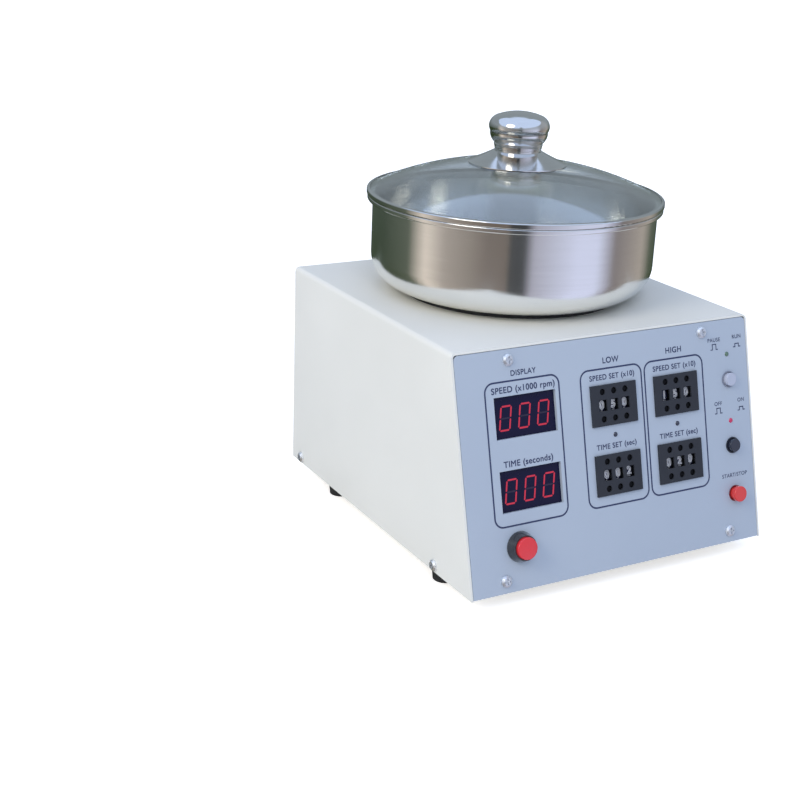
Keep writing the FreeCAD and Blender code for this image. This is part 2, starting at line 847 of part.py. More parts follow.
def spin_bowl():
    """The deep-drawn bowl, with a solid rolled bead round its mouth and a collar round the shaft hole."""
    bowl = body("spin_bowl", y="spin_y", z="bowl_base")
    wall, corner = "bowl_wall", "bowl_corner"
    inside, flat = "bowl_radius - bowl_wall", "bowl_radius - bowl_corner"
    bead, step = "bead_round", "bowl_height - bead_height"
    turned(
        bowl,
        [
            ("collar_bore", "0"),
            (flat, "0"),
            ("bowl_radius", corner, corner),
            ("bowl_radius", step),
            (f"bead_radius - {bead}", step),
            ("bead_radius", f"{step} + {bead}", bead),
            ("bead_radius", f"bowl_height - {bead}"),
            (f"bead_radius - {bead}", "bowl_height", bead),
            (inside, "bowl_height"),
            (inside, corner),
            (flat, wall, f"-({corner} - {wall})"),
            (f"collar_bore + {wall}", wall),
            (f"collar_bore + {wall}", "collar_height"),
            ("collar_bore", "collar_height"),
        ],
    )
    three_holes(bowl, "large_hole", "bowl_screw_ring", "bowl_screw_turn", lift=wall, length=f"2 * {wall}")


def lid_body(label):
    """A lid piece, measured up from the top of the bowl's bead."""
    return body(label, y="spin_y", z="lid_base")


def on_dome(radius, dome="dome_radius"):
    """The height of the glass's face at this radius."""
    return f"dome_centre + sqrt(({dome})^2 - ({radius})^2)"


def lid_glass():
    """The shallow glass dome, a shell between two concentric spheres."""
    turned(
        lid_body("lid_glass"),
        [
            ("glass_bore", on_dome("glass_bore", "dome_inner")),
            ("glass_radius", on_dome("glass_radius", "dome_inner"), "-dome_inner"),
            ("glass_radius", on_dome("glass_radius")),
            ("glass_bore", on_dome("glass_bore"), "dome_radius"),
        ],
    )


def lid_rim():
    """The steel band round the glass: a channel that grips its edge, and a ring that drops into the bowl."""
    outer, rounding, wall = "band_radius", "band_round", "band_wall"
    seat = "bowl_radius - bowl_wall - seat_ease"
    channel = "glass_radius + lid_gap"
    turned(
        lid_body("lid_rim"),
        [
            (f"{seat} - {wall}", "-seat_depth"),
            (seat, "-seat_depth"),
            (seat, "0"),
            (f"{outer} - {rounding}", "0"),
            (outer, rounding, rounding),
            (outer, f"band_height - {rounding}"),
            (f"{outer} - {rounding}", "band_height", rounding),
            ("band_lip", on_dome("band_lip") + f" + {wall}"),
            ("band_lip", on_dome("band_lip")),
            (channel, on_dome("glass_radius")),
            (channel, wall),
            (f"{seat} - {wall}", wall),
        ],
    )


def knob_skirt():
    """The spun dish between the knob and the glass."""
    turned(
        lid_body("knob_skirt"),
        [
            ("skirt_radius - skirt_wall", "skirt_seat", "4 * skirt_radius"),
            ("skirt_radius", "skirt_seat"),
            ("skirt_radius", "skirt_seat + skirt_wall / 2"),
            ("skirt_neck", "skirt_top", "-4 * skirt_radius"),
            ("knob_screw_radius", "skirt_top"),
            ("knob_screw_radius", "skirt_top - skirt_wall"),
            ("skirt_neck - skirt_wall", "skirt_top - skirt_wall"),
        ],
    )


def lid_knob():
    """The polished knob: a swelling neck with turned grooves under a domed head."""
    knob = lid_body("lid_knob")
    groove, round_off, wide = "knob_groove", "knob_shoulder", "knob_radius"
    rise = "(knob_height - knob_wide_rise)"
    crown = f"((({wide} - {round_off})^2 + {rise}^2 - {round_off}^2) / (2 * ({rise} - {round_off})))"
    share = f"({crown} / ({crown} - {round_off}))"
    waist, low = "knob_waist_rise", "knob_collar_rise"
    foot = [
        ("knob_screw_radius", "0"),
        ("knob_neck - knob_groove", "0"),
        ("knob_neck - knob_groove", groove),
        ("knob_neck", groove),
        (f"knob_neck + {groove}", low),
        (f"knob_neck + {groove} / 2", f"{low} + {groove} / 2"),
        (f"knob_neck + {groove}", f"{low} + {groove}"),
        ("knob_waist", f"{waist} - {groove} / 2", "knob_radius / 2"),
        (f"knob_waist - {groove}", waist),
        ("knob_waist", f"{waist} + {groove} / 2"),
    ]
    head = [
        (wide, "knob_wide_rise", "3 * knob_groove + knob_shoulder"),
        (
            f"({wide} - {round_off}) * {share}",
            f"knob_height - {crown} + (knob_wide_rise - knob_height + {crown}) * {share}",
            round_off,
        ),
        ("0", "knob_height", crown),
        ("0", "knob_screw_bite"),
        ("knob_screw_radius", "knob_screw_bite"),
    ]
    turned(knob, [(c[0], f"skirt_top + {c[1]}", *c[2:]) for c in foot + head])


def knob_screw():
    """The screw up through the glass into the knob, with its washer face against the dome's underside."""
    under = on_dome("knob_washer", "dome_inner") + " - lid_gap"
    washer = f"{under} - glass_thick / 2"
    head = f"{washer} - knob_screw_radius"
    turned(
        lid_body("knob_screw"),
        [
            ("0", head),
            ("knob_screw_head", head),
            ("knob_screw_head", washer),
            ("knob_washer", washer),
            ("knob_washer", under),
            ("knob_screw_radius", under),
            ("knob_screw_radius", "skirt_top + knob_screw_bite"),
            ("0", "skirt_top + knob_screw_bite"),
        ],
    )


# ---- motor, chuck and vacuum line ----


def motor_plate():
    """The plate under the case top: the bowl's screws pull it up, and the motor hangs from it."""
    plate = body("motor_plate", y="spin_y", z="plate_top")
    disc = sketch(plate, "XY")
    circle(disc, "plate_radius")
    circle(disc, "plate_bore")
    pad(plate, disc, "plate_thick", back=True)
    three_holes(plate, "large_thread", "bowl_screw_ring", "bowl_screw_turn")
    three_holes(plate, "large_hole", "motor_screw_ring", "motor_screw_turn")
    three_holes(plate, "large_head + hole_ease", "motor_screw_ring", "motor_screw_turn", length="motor_screw_sink")


def mounting_screws():
    """The M4 screws: three hold the bowl to the plate, three hold the motor under it."""
    screw = pan_head_screw("large_screw", "large_thread", "large_length", "large_head", "large_head_rise")
    places = []
    for use, level in (("bowl", "bowl_base + bowl_wall"), ("motor", "plate_top - motor_screw_sink")):
        for step in range(3):
            x, y = on_circle(f"{use}_screw_ring", f"{use}_screw_turn + {step} * 360 / 3")
            places.append(spot(x, f"spin_y + {y}", level))
    copies("mounting_screws", screw, places)


def motor_housing():
    """The motor's can, with the bell that holds the upper bearing and the stator pressed inside."""
    motor = body("motor_housing", y="spin_y", z="motor_top")
    bore = "shaft_radius + motor_crown"
    inside = "motor_radius - motor_wall"
    upper = "-(motor_bell + stator_inset)"
    lower = "-(motor_length - motor_bell - stator_inset)"
    turned(
        motor,
        [
            (bore, "0"),
            ("motor_radius", "0"),
            ("motor_radius", "-motor_length"),
            (inside, "-motor_length"),
            (inside, lower),
            ("stator_bore", lower),
            ("stator_bore", upper),
            (inside, upper),
            (inside, "-motor_bell"),
            ("bearing_radius", "-motor_bell"),
            ("bearing_radius", "-motor_crown"),
            (bore, "-motor_crown"),
        ],
    )
    three_holes(motor, "large_thread", "motor_screw_ring", "motor_screw_turn", length="motor_bell")


def motor_bearings():
    """The two ball bearings, each as one ring."""
    bearings = body("motor_bearings", y="spin_y", z="motor_top")
    ring = turned(
        bearings,
        [
            ("shaft_radius", "-motor_bell"),
            ("bearing_radius", "-motor_bell"),
            ("bearing_radius", "-motor_crown"),
            ("shaft_radius", "-motor_crown"),
        ],
    )
    axis = (origin_feature(bearings, "Z_Axis"), [""])
    span = "motor_length - motor_bell"
    repeated(bearings, "LinearPattern", ring, Direction=axis, Reversed=True, Length=span, Occurrences=2)


def vacuum_union():
    """The motor's end cap: it seats the lower bearing and feeds vacuum to the turning shaft's open end."""
    union = body("vacuum_union", y="spin_y", z="motor_top - motor_length")
    boss = "motor_crown + bearing_radius"
    cap, end = "-cap_thick", "-(cap_thick + union_height)"
    neck = "shaft_radius + 4 * fit_gap / 3"
    turned(
        union,
        [
            ("0", end),
            ("union_radius", end),
            ("union_radius", cap),
            ("motor_radius", cap),
            ("motor_radius", "0"),
            (boss, "0"),
            (boss, "bearing_width"),
            ("bearing_radius", "bearing_width"),
            ("bearing_radius", "0"),
            (neck, "0"),
            (neck, f"{end} + motor_wall"),
            ("0", f"{end} + motor_wall"),
        ],
    )
    level = "-(vacuum_drop - motor_length)"
    spigot = sketch(union, "XZ", "-(union_radius / 2 + shaft_radius / 2)")
    circle(spigot, "barb_radius", "0", level)
    pad(union, spigot, "union_radius / 2 - shaft_radius / 2 + union_barb", back=True)
    drilling = sketch(union, "XZ")
    circle(drilling, "shaft_bore", "0", level)
    pocket(union, drilling, "union_radius + 2 * union_barb")


def vacuum_hose():
    """The inner hose, pushed over the barbs of the union and the valve."""
    hose = body("vacuum_hose", y="spin_y + union_radius + fit_gap", z="vacuum_z", turn="-90")
    tube = sketch(hose, "XY")
    circle(tube, "barb_radius + hose_wall")
    circle(tube, "barb_radius")
    pad(hose, tube, "valve_front - spin_y - union_radius - 2 * fit_gap")


def vacuum_valve():
    """The solenoid valve behind the rear wall."""
    valve = body("vacuum_valve", y="valve_front", z="vacuum_z")
    block = sketch(valve, "XZ")
    rectangle(block, "valve_width", "valve_height")
    pad(valve, block, "valve_depth", back=True)
    coil = sketch(valve, "XY", "valve_height / 2")
    rectangle(coil, "valve_width - coil_inset", "valve_depth - coil_inset", "0", "valve_depth / 2")
    pad(valve, coil, "coil_height")
    barb = sketch(valve, "XZ")
    circle(barb, "barb_radius")
    pad(valve, barb, "union_barb")
    port = sketch(valve, "XZ", "-valve_depth")
    circle(port, "spigot_shank")
    pocket(valve, port, "spigot_bite - sheet_gauge", back=True)
    drilling = sketch(valve, "XZ", "union_barb")
    circle(drilling, "shaft_bore")
    pocket(valve, drilling, "union_barb + valve_depth")


def vacuum_port():
    """The rear spigot for the pump's hose, screwed through the wall into the valve."""
    port = body("vacuum_port", y="back_y", z="vacuum_z", turn="-90")
    turned(
        port,
        [
            ("shaft_bore", "-spigot_bite"),
            ("spigot_shank", "-spigot_bite"),
            ("spigot_shank", "spigot_hex_thick / 2"),
            ("spigot_radius", "spigot_hex_thick / 2"),
            ("spigot_radius", "spigot_reach - spigot_hex_thick / 2"),
            ("spigot_radius * 0.8", "spigot_reach"),
            ("shaft_bore", "spigot_reach"),
        ],
    )
    collar = sketch(port, "XY")
    hexagon(collar, "spigot_hex")
    circle(collar, "spigot_radius - hole_ease")
    pad(port, collar, "spigot_hex_thick")


def motor_spindle():
    """The hollow shaft with its rotor, which turns in both bearings."""
    shaft = "shaft_radius - running_fit"
    low = "-(motor_length + cap_thick + shaft_radius)"
    top = "chuck_top - chuck_web - lid_gap - motor_top"
    rotor_low = "-(motor_length - motor_bell - stator_inset - rotor_inset)"
    rotor_high = "-(motor_bell + stator_inset + rotor_inset)"
    turned(
        body("motor_spindle", y="spin_y", z="motor_top"),
        [
            ("shaft_bore", low),
            (shaft, low),
            (shaft, rotor_low),
            ("rotor_radius", rotor_low),
            ("rotor_radius", rotor_high),
            (shaft, rotor_high),
            (shaft, top),
            ("shaft_bore", top),
        ],
    )


def vacuum_chuck():
    """The wafer chuck: a grooved seat, a hub on the shaft and a slinger that hangs over the bowl's collar."""
    chuck = body("vacuum_chuck", y="spin_y", z="chuck_top")
    slinger = "slinger_bore + slinger_wall"
    groove_top = "-(ring_level - ring_section - fit_gap / 3)"
    groove_low = "-(ring_level + ring_section + fit_gap / 3)"
    groove_deep = "shaft_radius + 2 * ring_section + fit_gap / 3"
    turned(
        chuck,
        [
            ("vacuum_hole", "0"),
            ("chuck_radius", "0"),
            ("chuck_radius", "-chuck_thick + chuck_chamfer"),
            ("chuck_radius - chuck_chamfer", "-chuck_thick"),
            (slinger, "-chuck_thick"),
            (slinger, "-slinger_reach"),
            ("slinger_bore", "-slinger_reach"),
            ("slinger_bore", "-chuck_thick"),
            ("hub_radius", "-chuck_thick"),
            ("hub_radius", "-hub_height"),
            ("shaft_radius", "-hub_height"),
            ("shaft_radius", groove_low),
            (groove_deep, groove_low),
            (groove_deep, groove_top),
            ("shaft_radius", groove_top),
            ("shaft_radius", "-chuck_web"),
            ("vacuum_hole", "-chuck_web"),
        ],
    )
    grooves = sketch(chuck, "XY")
    for radius in ("groove_outer", "groove_inner"):
        circle(grooves, f"{radius} + groove_width")
        circle(grooves, radius)
    pocket(chuck, grooves, "groove_depth")
    channel = sketch(chuck, "XY")
    rectangle(channel, "2 * (groove_outer + groove_width / 2)", "groove_width")
    pocket(chuck, channel, "groove_depth")


def chuck_o_ring():
    """The ring in the hub's groove, which grips and seals the shaft."""
    ring = body("chuck_o_ring", y="spin_y", z="chuck_top - ring_level")
    section = sketch(ring, "XZ")
    circle(section, "ring_section", "shaft_radius + ring_section + fit_gap / 6")
    made = ring.newObject("PartDesign::Revolution", "o_ring_turned")
    made.Profile = section
    made.ReferenceAxis = (section, ["V_Axis"])
    made.Angle = 360


# ---- mains inlet and circuit board ----


def power_inlet():
    """The mains inlet on the rear wall, with its three blades in an open socket."""
    inlet = body("power_inlet", "inlet_x", "back_y", "foot_height + inlet_rise", turn="-90")
    plate = sketch(inlet, "XY")
    rounded_plate(plate, "inlet_flange_width / 2", "inlet_flange_height / 2", "inlet_corner")
    pad(inlet, plate, "inlet_flange_thick")
    block = sketch(inlet, "XY")
    rectangle(block, "inlet_body_width", "inlet_body_height")
    pad(inlet, block, "inlet_body_depth", back=True)
    x, y = "inlet_body_width / 2 - inlet_wall", "inlet_body_height / 2 - inlet_wall"
    cavity = sketch(inlet, "XY", "inlet_flange_thick")
    outline(
        cavity,
        [
            (f"-({x})", f"-({y}) + inlet_chamfer"),
            (f"-({x}) + inlet_chamfer", f"-({y})"),
            (f"{x} - inlet_chamfer", f"-({y})"),
            (x, f"-({y}) + inlet_chamfer"),
            (x, y),
            (f"-({x})", y),
        ],
    )
    pocket(inlet, cavity, "inlet_cavity_depth")
    holes = sketch(inlet, "XY")
    for sign in ("-", ""):
        circle(holes, "small_hole", f"{sign}inlet_screw_span / 2", "0")
    pocket(inlet, holes, both=True)
    pins = sketch(inlet, "XY", "inlet_flange_thick - inlet_cavity_depth")
    for sign in ("-", ""):
        rectangle(pins, "pin_width", "pin_tall", f"{sign}pin_span / 2", "pin_offset / 2")
    rectangle(pins, "pin_width", "pin_tall", "0", "-pin_offset / 2")
    pad(inlet, pins, "pin_length")


def rounded_plate(drawn, half_width, half_height, corner):
    """A rectangle with round corners."""
    w, t, c = half_width, half_height, corner
    outline(
        drawn,
        [
            (f"{c} - {w}", f"-{t}", c),
            (f"{w} - {c}", f"-{t}"),
            (w, f"{c} - {t}", c),
            (w, f"{t} - {c}"),
            (f"{w} - {c}", t, c),
            (f"{c} - {w}", t),
            (f"-{w}", f"{t} - {c}", c),
            (f"-{w}", f"{c} - {t}"),
        ],
    )


def control_board():
    """The power and control board on its posts: transformer, reservoir capacitors and terminal strip."""
    board = body("control_board", y="front_y + board_front", z="foot_height + board_level")
    middle = "board_depth / 2"
    card = sketch(board, "XY")
    rectangle(card, "board_width", "board_depth", "0", middle)
    for x, y in board_corners():
        circle(card, "post_pin + fit_gap / 3", x, y)
    pad(board, card, "board_thick")
    core = sketch(board, "XY", "board_thick")
    rectangle(core, "core_width", "core_depth", "core_width / 2 - board_width / 3", middle)
    pad(board, core, "core_height")
    tanks = sketch(board, "XY", "board_thick")
    for step in range(3):
        circle(tanks, "tank_radius", "board_width / 6", f"{middle} + {step - 1} * tank_pitch")
    pad(board, tanks, "tank_height")
    strip = sketch(board, "XY", "board_thick")
    rectangle(strip, "2 * tank_radius", "board_depth - 6 * board_edge", "board_width / 2 - 3 * board_edge", middle)
    pad(board, strip, "tank_height / 2")


# ---- front panel fittings ----


def panel_body(label, **options):
    """A piece drawn in the panel's own plane, from the middle of its bottom edge."""
    return body(label, **panel_place("0", "0"), **options)


def display_filters():
    """The two dark filter plates behind the windows."""
    filters = panel_body("display_filters")
    plates = sketch(filters, "XY", "-panel_thick")
    for level in ("upper_window", "lower_window"):
        width, height = "window_width + 2 * filter_margin", "window_height + 2 * filter_margin"
        rectangle(plates, width, height, "display_x", level)
    pad(filters, plates, "filter_thick", back=True)


def display_board():
    """The card that carries both three-digit display blocks."""
    card = panel_body("display_board")
    depth = "panel_thick + filter_thick + module_depth"
    plate = sketch(card, "XY", f"-({depth})")
    rectangle(plate, "card_width", "card_height + 3 * card_post", "display_x", "card_centre")
    pad(card, plate, "board_thick", back=True)
    blocks = sketch(card, "XY", f"-({depth})")
    for level in ("upper_window", "lower_window"):
        rectangle(blocks, "module_width", "module_height", "display_x", level)
    pad(card, blocks, "module_depth")


def indicator_lamps():
    """The two stage lamps and the two state lamps, in their holes."""
    lamp = body("lamp", keep=False)
    under, flange = "-panel_thick", "-(panel_thick + lamp_rise)"
    turned(
        lamp,
        [
            ("0", "-lamp_length"),
            ("lamp_radius", "-lamp_length"),
            ("lamp_radius", flange),
            ("lamp_flange", flange),
            ("lamp_flange", under),
            ("lamp_radius", under),
            ("lamp_radius", "0"),
            ("0", "lamp_rise", "(lamp_radius^2 + lamp_rise^2) / (2 * lamp_rise)"),
        ],
    )
    copies("indicator_lamps", lamp, [panel_spot(across, level) for across, level in LAMPS])


def pushwheel_housings():
    """The moulded blocks of the pushwheel switches: a cell, a window and two key holes for each digit."""
    block = body("pushwheel_housing", keep=False)
    core = sketch(block, "XY")
    rectangle(core, "block_width", "block_height")
    pad(block, core, "block_depth", back=True)
    rim = sketch(block, "XY")
    rectangle(rim, "rim_width", "rim_height")
    pad(block, rim, "rim_rise")
    cells = sketch(block, "XY", "rim_rise - face_wall")
    face = sketch(block, "XY", "rim_rise")
    for across in DIGITS.values():
        rectangle(cells, "cell_width", "block_height - 2 * cell_wall", across)
        rectangle(face, "view_width", "view_height", across)
        for sign in ("-", ""):
            circle(face, "key_hole", across, f"{sign}key_spacing")
    pocket(block, cells, "rim_rise - face_wall + cell_floor")
    pocket(block, face, "2 * face_wall")
    slots = sketch(block, "YZ")
    reach = "trunnion_radius + trunnion_ease"
    rectangle(slots, f"2 * ({reach})", f"2 * ({reach})", "0", "-rocker_pivot")
    pocket(block, slots, "3 * digit_pitch + 2 * trunnion_length", both=True)
    axle = sketch(block, "YZ")
    circle(axle, "axle_radius", "0", "-wheel_depth")
    pad(block, axle, "3 * digit_pitch", both=True)
    copies("pushwheel_housings", block, [panel_spot(*where) for where in PUSHWHEELS.values()])


def digit_wheel(label, across, level):
    """One ten-position digit wheel on its moulded axle."""
    half = "wheel_width / 2"
    wheel = body(label, **panel_place(across, level, "-wheel_depth"))
    turned(
        wheel,
        [
            (f"-{half}", "axle_radius + axle_ease"),
            (half, "axle_radius + axle_ease"),
            (half, "2 * axle_radius"),
            (f"{half} - wheel_recess", "2 * axle_radius"),
            (f"{half} - wheel_recess", "wheel_radius - wheel_rim"),
            (half, "wheel_radius - wheel_rim"),
            (half, "wheel_radius"),
            (f"-{half}", "wheel_radius"),
        ],
        plane="XY",
        axis="H_Axis",
    )


def digit_rocker(label, across, level):
    """The key pair of one digit: a framed plate that rocks on two stubs, with a stud for up and one for down."""
    rocker = body(label, **panel_place(across, level, "-rocker_pivot"))
    frame = sketch(rocker, "XY")
    rectangle(frame, "rocker_width", "rocker_height")
    rectangle(frame, "rocker_view_width", "rocker_view_height")
    pad(rocker, frame, "rocker_thick", both=True)
    studs = sketch(rocker, "XY")
    for sign in ("-", ""):
        circle(studs, "key_radius", "0", f"{sign}key_spacing")
    pad(rocker, studs, "rim_rise - key_sink + rocker_pivot")
    stub = sketch(rocker, "YZ", "rocker_width / 2 - trunnion_radius")
    circle(stub, "trunnion_radius")
    end = pad(rocker, stub, "trunnion_radius + trunnion_length")
    repeated(rocker, "Mirrored", end, MirrorPlane=(origin_feature(rocker, "YZ_Plane"), [""]))


def pushwheel_digits():
    for switch, (across, level) in PUSHWHEELS.items():
        for place_name, shift in DIGITS.items():
            digit_wheel(f"{switch}_wheel_{place_name}", f"{across} + {shift}", level)
            digit_rocker(f"{switch}_keys_{place_name}", f"{across} + {shift}", level)


def button_bodies():
    """The barrels of the three small push buttons, each with a bezel and a well for its cap."""
    barrel = body("button_body", keep=False)
    well = "cap_radius + cap_gap"
    stem = "stem_radius + cap_gap"
    turned(
        barrel,
        [
            ("0", "-barrel_length"),
            ("barrel_radius", "-barrel_length"),
            ("barrel_radius", "0"),
            ("bezel_radius", "0"),
            ("bezel_radius", "bezel_rise"),
            (well, "bezel_rise"),
            (well, "-well_depth"),
            (stem, "-well_depth"),
            (stem, "-(stem_length + stem_room)"),
            ("0", "-(stem_length + stem_room)"),
        ],
    )
    copies("button_bodies", barrel, [panel_spot("button_x", level) for level in BUTTONS.values()])


def button_stem():
    """The hidden lower end that every small button cap has."""
    return [("0", "-stem_length"), ("stem_radius", "-stem_length"), ("stem_radius", "-cap_gap"), ("cap_radius", "-cap_gap")]


def flat_button(label, level):
    """A cap that sinks into its bezel."""
    turned(
        body(label, **panel_place("button_x", level)),
        button_stem()
        + [
            ("cap_radius", "cap_rise - cap_round"),
            ("cap_radius - cap_round", "cap_rise", "cap_round"),
            ("0", "cap_rise"),
        ],
    )


def start_button():
    """The tall red cap, whose head is wider than its bezel."""
    turned(
        body("start_button", **panel_place("button_x", "start_level")),
        button_stem()
        + [
            ("cap_radius", "head_under"),
            ("head_radius", "head_under"),
            ("head_radius", "head_rise - cap_round"),
            ("head_radius - cap_round", "head_rise", "cap_round"),
            ("0", "head_rise"),
        ],
    )


def power_switch_body():
    """The power button's barrel with its tapered bezel and its two terminals."""
    switch = body("power_switch_body", **panel_place("power_x", "power_level"))
    well = "power_cap + cap_gap"
    turned(
        switch,
        [
            ("0", "-power_length"),
            ("power_barrel", "-power_length"),
            ("power_barrel", "0"),
            ("power_bezel", "0"),
            ("power_bezel", "power_bezel_step"),
            ("power_bezel_lip", "power_bezel_rise"),
            (well, "power_bezel_rise"),
            (well, "-power_well"),
            ("0", "-power_well"),
        ],
    )
    blades = sketch(switch, "XY", "-power_length")
    for sign in ("-", ""):
        rectangle(blades, "panel_thick", "power_barrel", f"{sign}power_barrel / 2", "0")
    pad(switch, blades, "power_barrel", back=True)


def power_button():
    turned(
        body("power_button", **panel_place("power_x", "power_level")),
        [
            ("0", "-power_cap_root"),
            ("power_cap", "-power_cap_root"),
            ("power_cap", "power_cap_rise - cap_round"),
            ("power_cap - cap_round", "power_cap_rise", "cap_round"),
            ("0", "power_cap_rise + cap_round / 2", "(power_cap - cap_round)^2 / cap_round + cap_round / 4"),
        ],
    )


def panel_nuts():
    """The hexagon nuts that clamp the four push-button barrels behind the panel."""
    nuts = panel_body("panel_nuts")
    rings = sketch(nuts, "XY", "-panel_thick")
    for level in BUTTONS.values():
        hexagon(rings, "nut_half", "button_x", level)
        circle(rings, "barrel_radius", "button_x", level)
    hexagon(rings, "power_nut_half", "power_x", "power_level")
    circle(rings, "power_barrel", "power_x", "power_level")
    pad(nuts, rings, "nut_thick", back=True)


# ---- build, check and write ----


def build():
    case_cover()
    chassis_pan()
    front_panel()
    case_screws()
    rubber_feet()
    bowl_gasket()
    spin_bowl()
    mounting_screws()
    motor_plate()
    motor_housing()
    motor_bearings()
    vacuum_union()
    vacuum_hose()
    vacuum_valve()
    vacuum_port()
    power_inlet()
    control_board()
    display_filters()
    display_board()
    indicator_lamps()
    pushwheel_housings()
    power_switch_body()
    button_bodies()
    panel_nuts()
    lid_glass()
    lid_rim()
    lid_knob()
    knob_skirt()
    knob_screw()
    motor_spindle()
    vacuum_chuck()
    chuck_o_ring()
    power_button()
    flat_button("pause_button", "pause_level")
    flat_button("vacuum_button", "vacuum_level")
    start_button()
    pushwheel_digits()
    doc.recompute()


def check():
    """Stop if any object failed or any sub-part has no sound shape."""
    for thing in doc.Objects:
        if {"Invalid", "Error"} & set(thing.State):
            raise RuntimeError(f"{thing.Name} failed: {thing.getStatusString()}")
    for part in sub_parts:
        if part.Shape.isNull() or not part.Shape.isValid():
            raise RuntimeError(f"{part.Label} has no sound shape")


def write():
    os.makedirs("parts", exist_ok=True)
    for part in sub_parts:
        part.Shape.exportStep(f"parts/{part.Label}.step")
        print(f"{part.Label:28s} solids {len(part.Shape.Solids):3d}  volume {part.Shape.Volume:12.1f} mm3")
    print(len(sub_parts), "sub-parts")


build()
check()
write()
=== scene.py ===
# %% [markdown]
# # A bench-top spin coater
#
# A spin coater spreads a thin film over a wafer by spinning it. This one is a painted sheet-metal case with a
# sloping control panel, and on top a steel bowl with a glass lid over the spinning chuck.
#
# The solid pieces come ready-made from the CAD model. This lesson gives every one of them its finish, and adds what
# is too thin or too fine for CAD: the printing on the panel, the glowing figures of the displays and the white
# figures on the little wheels. All lengths are metres, so the sizes below are written in millimetres times MM.

# %% Load the frame
import json
import math

import bmesh
import bpy
from mathutils import Matrix, Vector


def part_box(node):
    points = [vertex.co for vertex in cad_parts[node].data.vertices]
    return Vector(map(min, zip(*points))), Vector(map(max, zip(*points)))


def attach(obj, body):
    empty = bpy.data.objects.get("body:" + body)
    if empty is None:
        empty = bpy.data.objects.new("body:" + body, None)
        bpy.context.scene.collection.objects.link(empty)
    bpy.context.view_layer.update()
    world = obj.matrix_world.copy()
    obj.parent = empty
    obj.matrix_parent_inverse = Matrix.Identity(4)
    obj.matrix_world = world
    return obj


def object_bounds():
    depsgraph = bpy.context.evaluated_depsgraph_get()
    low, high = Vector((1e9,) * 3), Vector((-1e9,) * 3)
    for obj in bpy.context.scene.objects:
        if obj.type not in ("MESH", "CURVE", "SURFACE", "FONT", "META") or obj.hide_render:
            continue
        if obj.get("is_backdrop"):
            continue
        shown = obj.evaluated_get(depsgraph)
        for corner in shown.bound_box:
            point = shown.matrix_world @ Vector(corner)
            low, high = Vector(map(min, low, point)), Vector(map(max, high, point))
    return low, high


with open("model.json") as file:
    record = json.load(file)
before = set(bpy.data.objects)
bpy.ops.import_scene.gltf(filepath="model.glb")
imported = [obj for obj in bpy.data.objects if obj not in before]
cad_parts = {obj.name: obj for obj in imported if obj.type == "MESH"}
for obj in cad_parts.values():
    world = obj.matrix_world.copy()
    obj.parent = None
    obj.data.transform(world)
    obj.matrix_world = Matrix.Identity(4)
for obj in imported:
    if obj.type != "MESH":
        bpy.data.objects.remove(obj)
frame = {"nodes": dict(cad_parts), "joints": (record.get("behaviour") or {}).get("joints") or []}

MM = 0.001
cad_low, cad_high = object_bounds()
scene = bpy.context.scene
nodes = frame["nodes"]
joints = {joint["name"]: joint for joint in frame["joints"]}
print("CAD model:", [round(side / MM, 1) for side in cad_high - cad_low], "mm")

# %% [markdown]
# ## Where things are
#
# Nothing is measured by eye. The case's box gives the bottom edge of the sloping front, and the joint of the power
# button gives the direction straight into the panel. From these two we build one matrix, PANEL. It turns a point
# given as (across, up the slope, out of the face) into a point of the model, so the printing can be laid out as on
# a flat drawing.

# %% The panel's own coordinates
case_low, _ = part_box("case_cover")
panel_out = -Vector(joints["power_press"]["axis"]).normalized()
panel_up = panel_out.cross(Vector((1, 0, 0)))
PANEL = Matrix.Translation((0, case_low.y, case_low.z)) @ Matrix(
    ((1, panel_up.x, panel_out.x), (0, panel_up.y, panel_out.y), (0, panel_up.z, panel_out.z))
).to_4x4()
spin_axis = Vector(joints["spindle_spin"]["pos_m"])
print("panel leans back", round(math.degrees(math.asin(panel_out.z)), 2), "degrees")


# %% A helper that finds the separate solids of a node
def solids_on_panel(node):
    """The boxes of a node's separate solids in panel coordinates, as (lowest, highest) corners."""
    mesh = bmesh.new()
    mesh.from_mesh(nodes[node].data)
    bmesh.ops.remove_doubles(mesh, verts=mesh.verts, dist=0.001 * MM)
    mesh.transform(PANEL.inverted())
    unseen, boxes = set(mesh.verts), []
    while unseen:
        reached = [unseen.pop()]
        for vertex in reached:
            for edge in vertex.link_edges:
                other = edge.other_vert(vertex)
                if other in unseen:
                    unseen.remove(other)
                    reached.append(other)
        points = [vertex.co for vertex in reached]
        low = Vector([min(point[axis] for point in points) for axis in range(3)])
        high = Vector([max(point[axis] for point in points) for axis in range(3)])
        boxes.append((low, high))
    mesh.free()
    return sorted(boxes, key=lambda box: (round((box[0].x + box[1].x) / 2, 3), -box[1].y))


def middle(box):
    return (box[0] + box[1]) / 2


filters = solids_on_panel("display_filters")
windows = [middle(box) for box in filters]
switches = [middle(box) for box in solids_on_panel("pushwheel_housings")]
lamps = [middle(box) for box in solids_on_panel("indicator_lamps")]
window_glass = max(box[1].z for box in filters)
print("windows, switches and lamps:", len(windows), len(switches), len(lamps))

# %% [markdown]
# ## The camera
#
# The machine is seen from the front left, a little from above, with a long lens that keeps its edges nearly
# parallel. A camera looks along its own -Z, so three turns aim it: roll about its own axis, tilt down from the
# horizon, then a turn about the vertical.

# %% The camera
CAMERA_PLACE = Vector((-488.7, -713.5, 379.6)) * MM
CAMERA_TURN, CAMERA_DOWN, CAMERA_ROLL = 29.565, 19.798, 2.28
LENS = 63.7

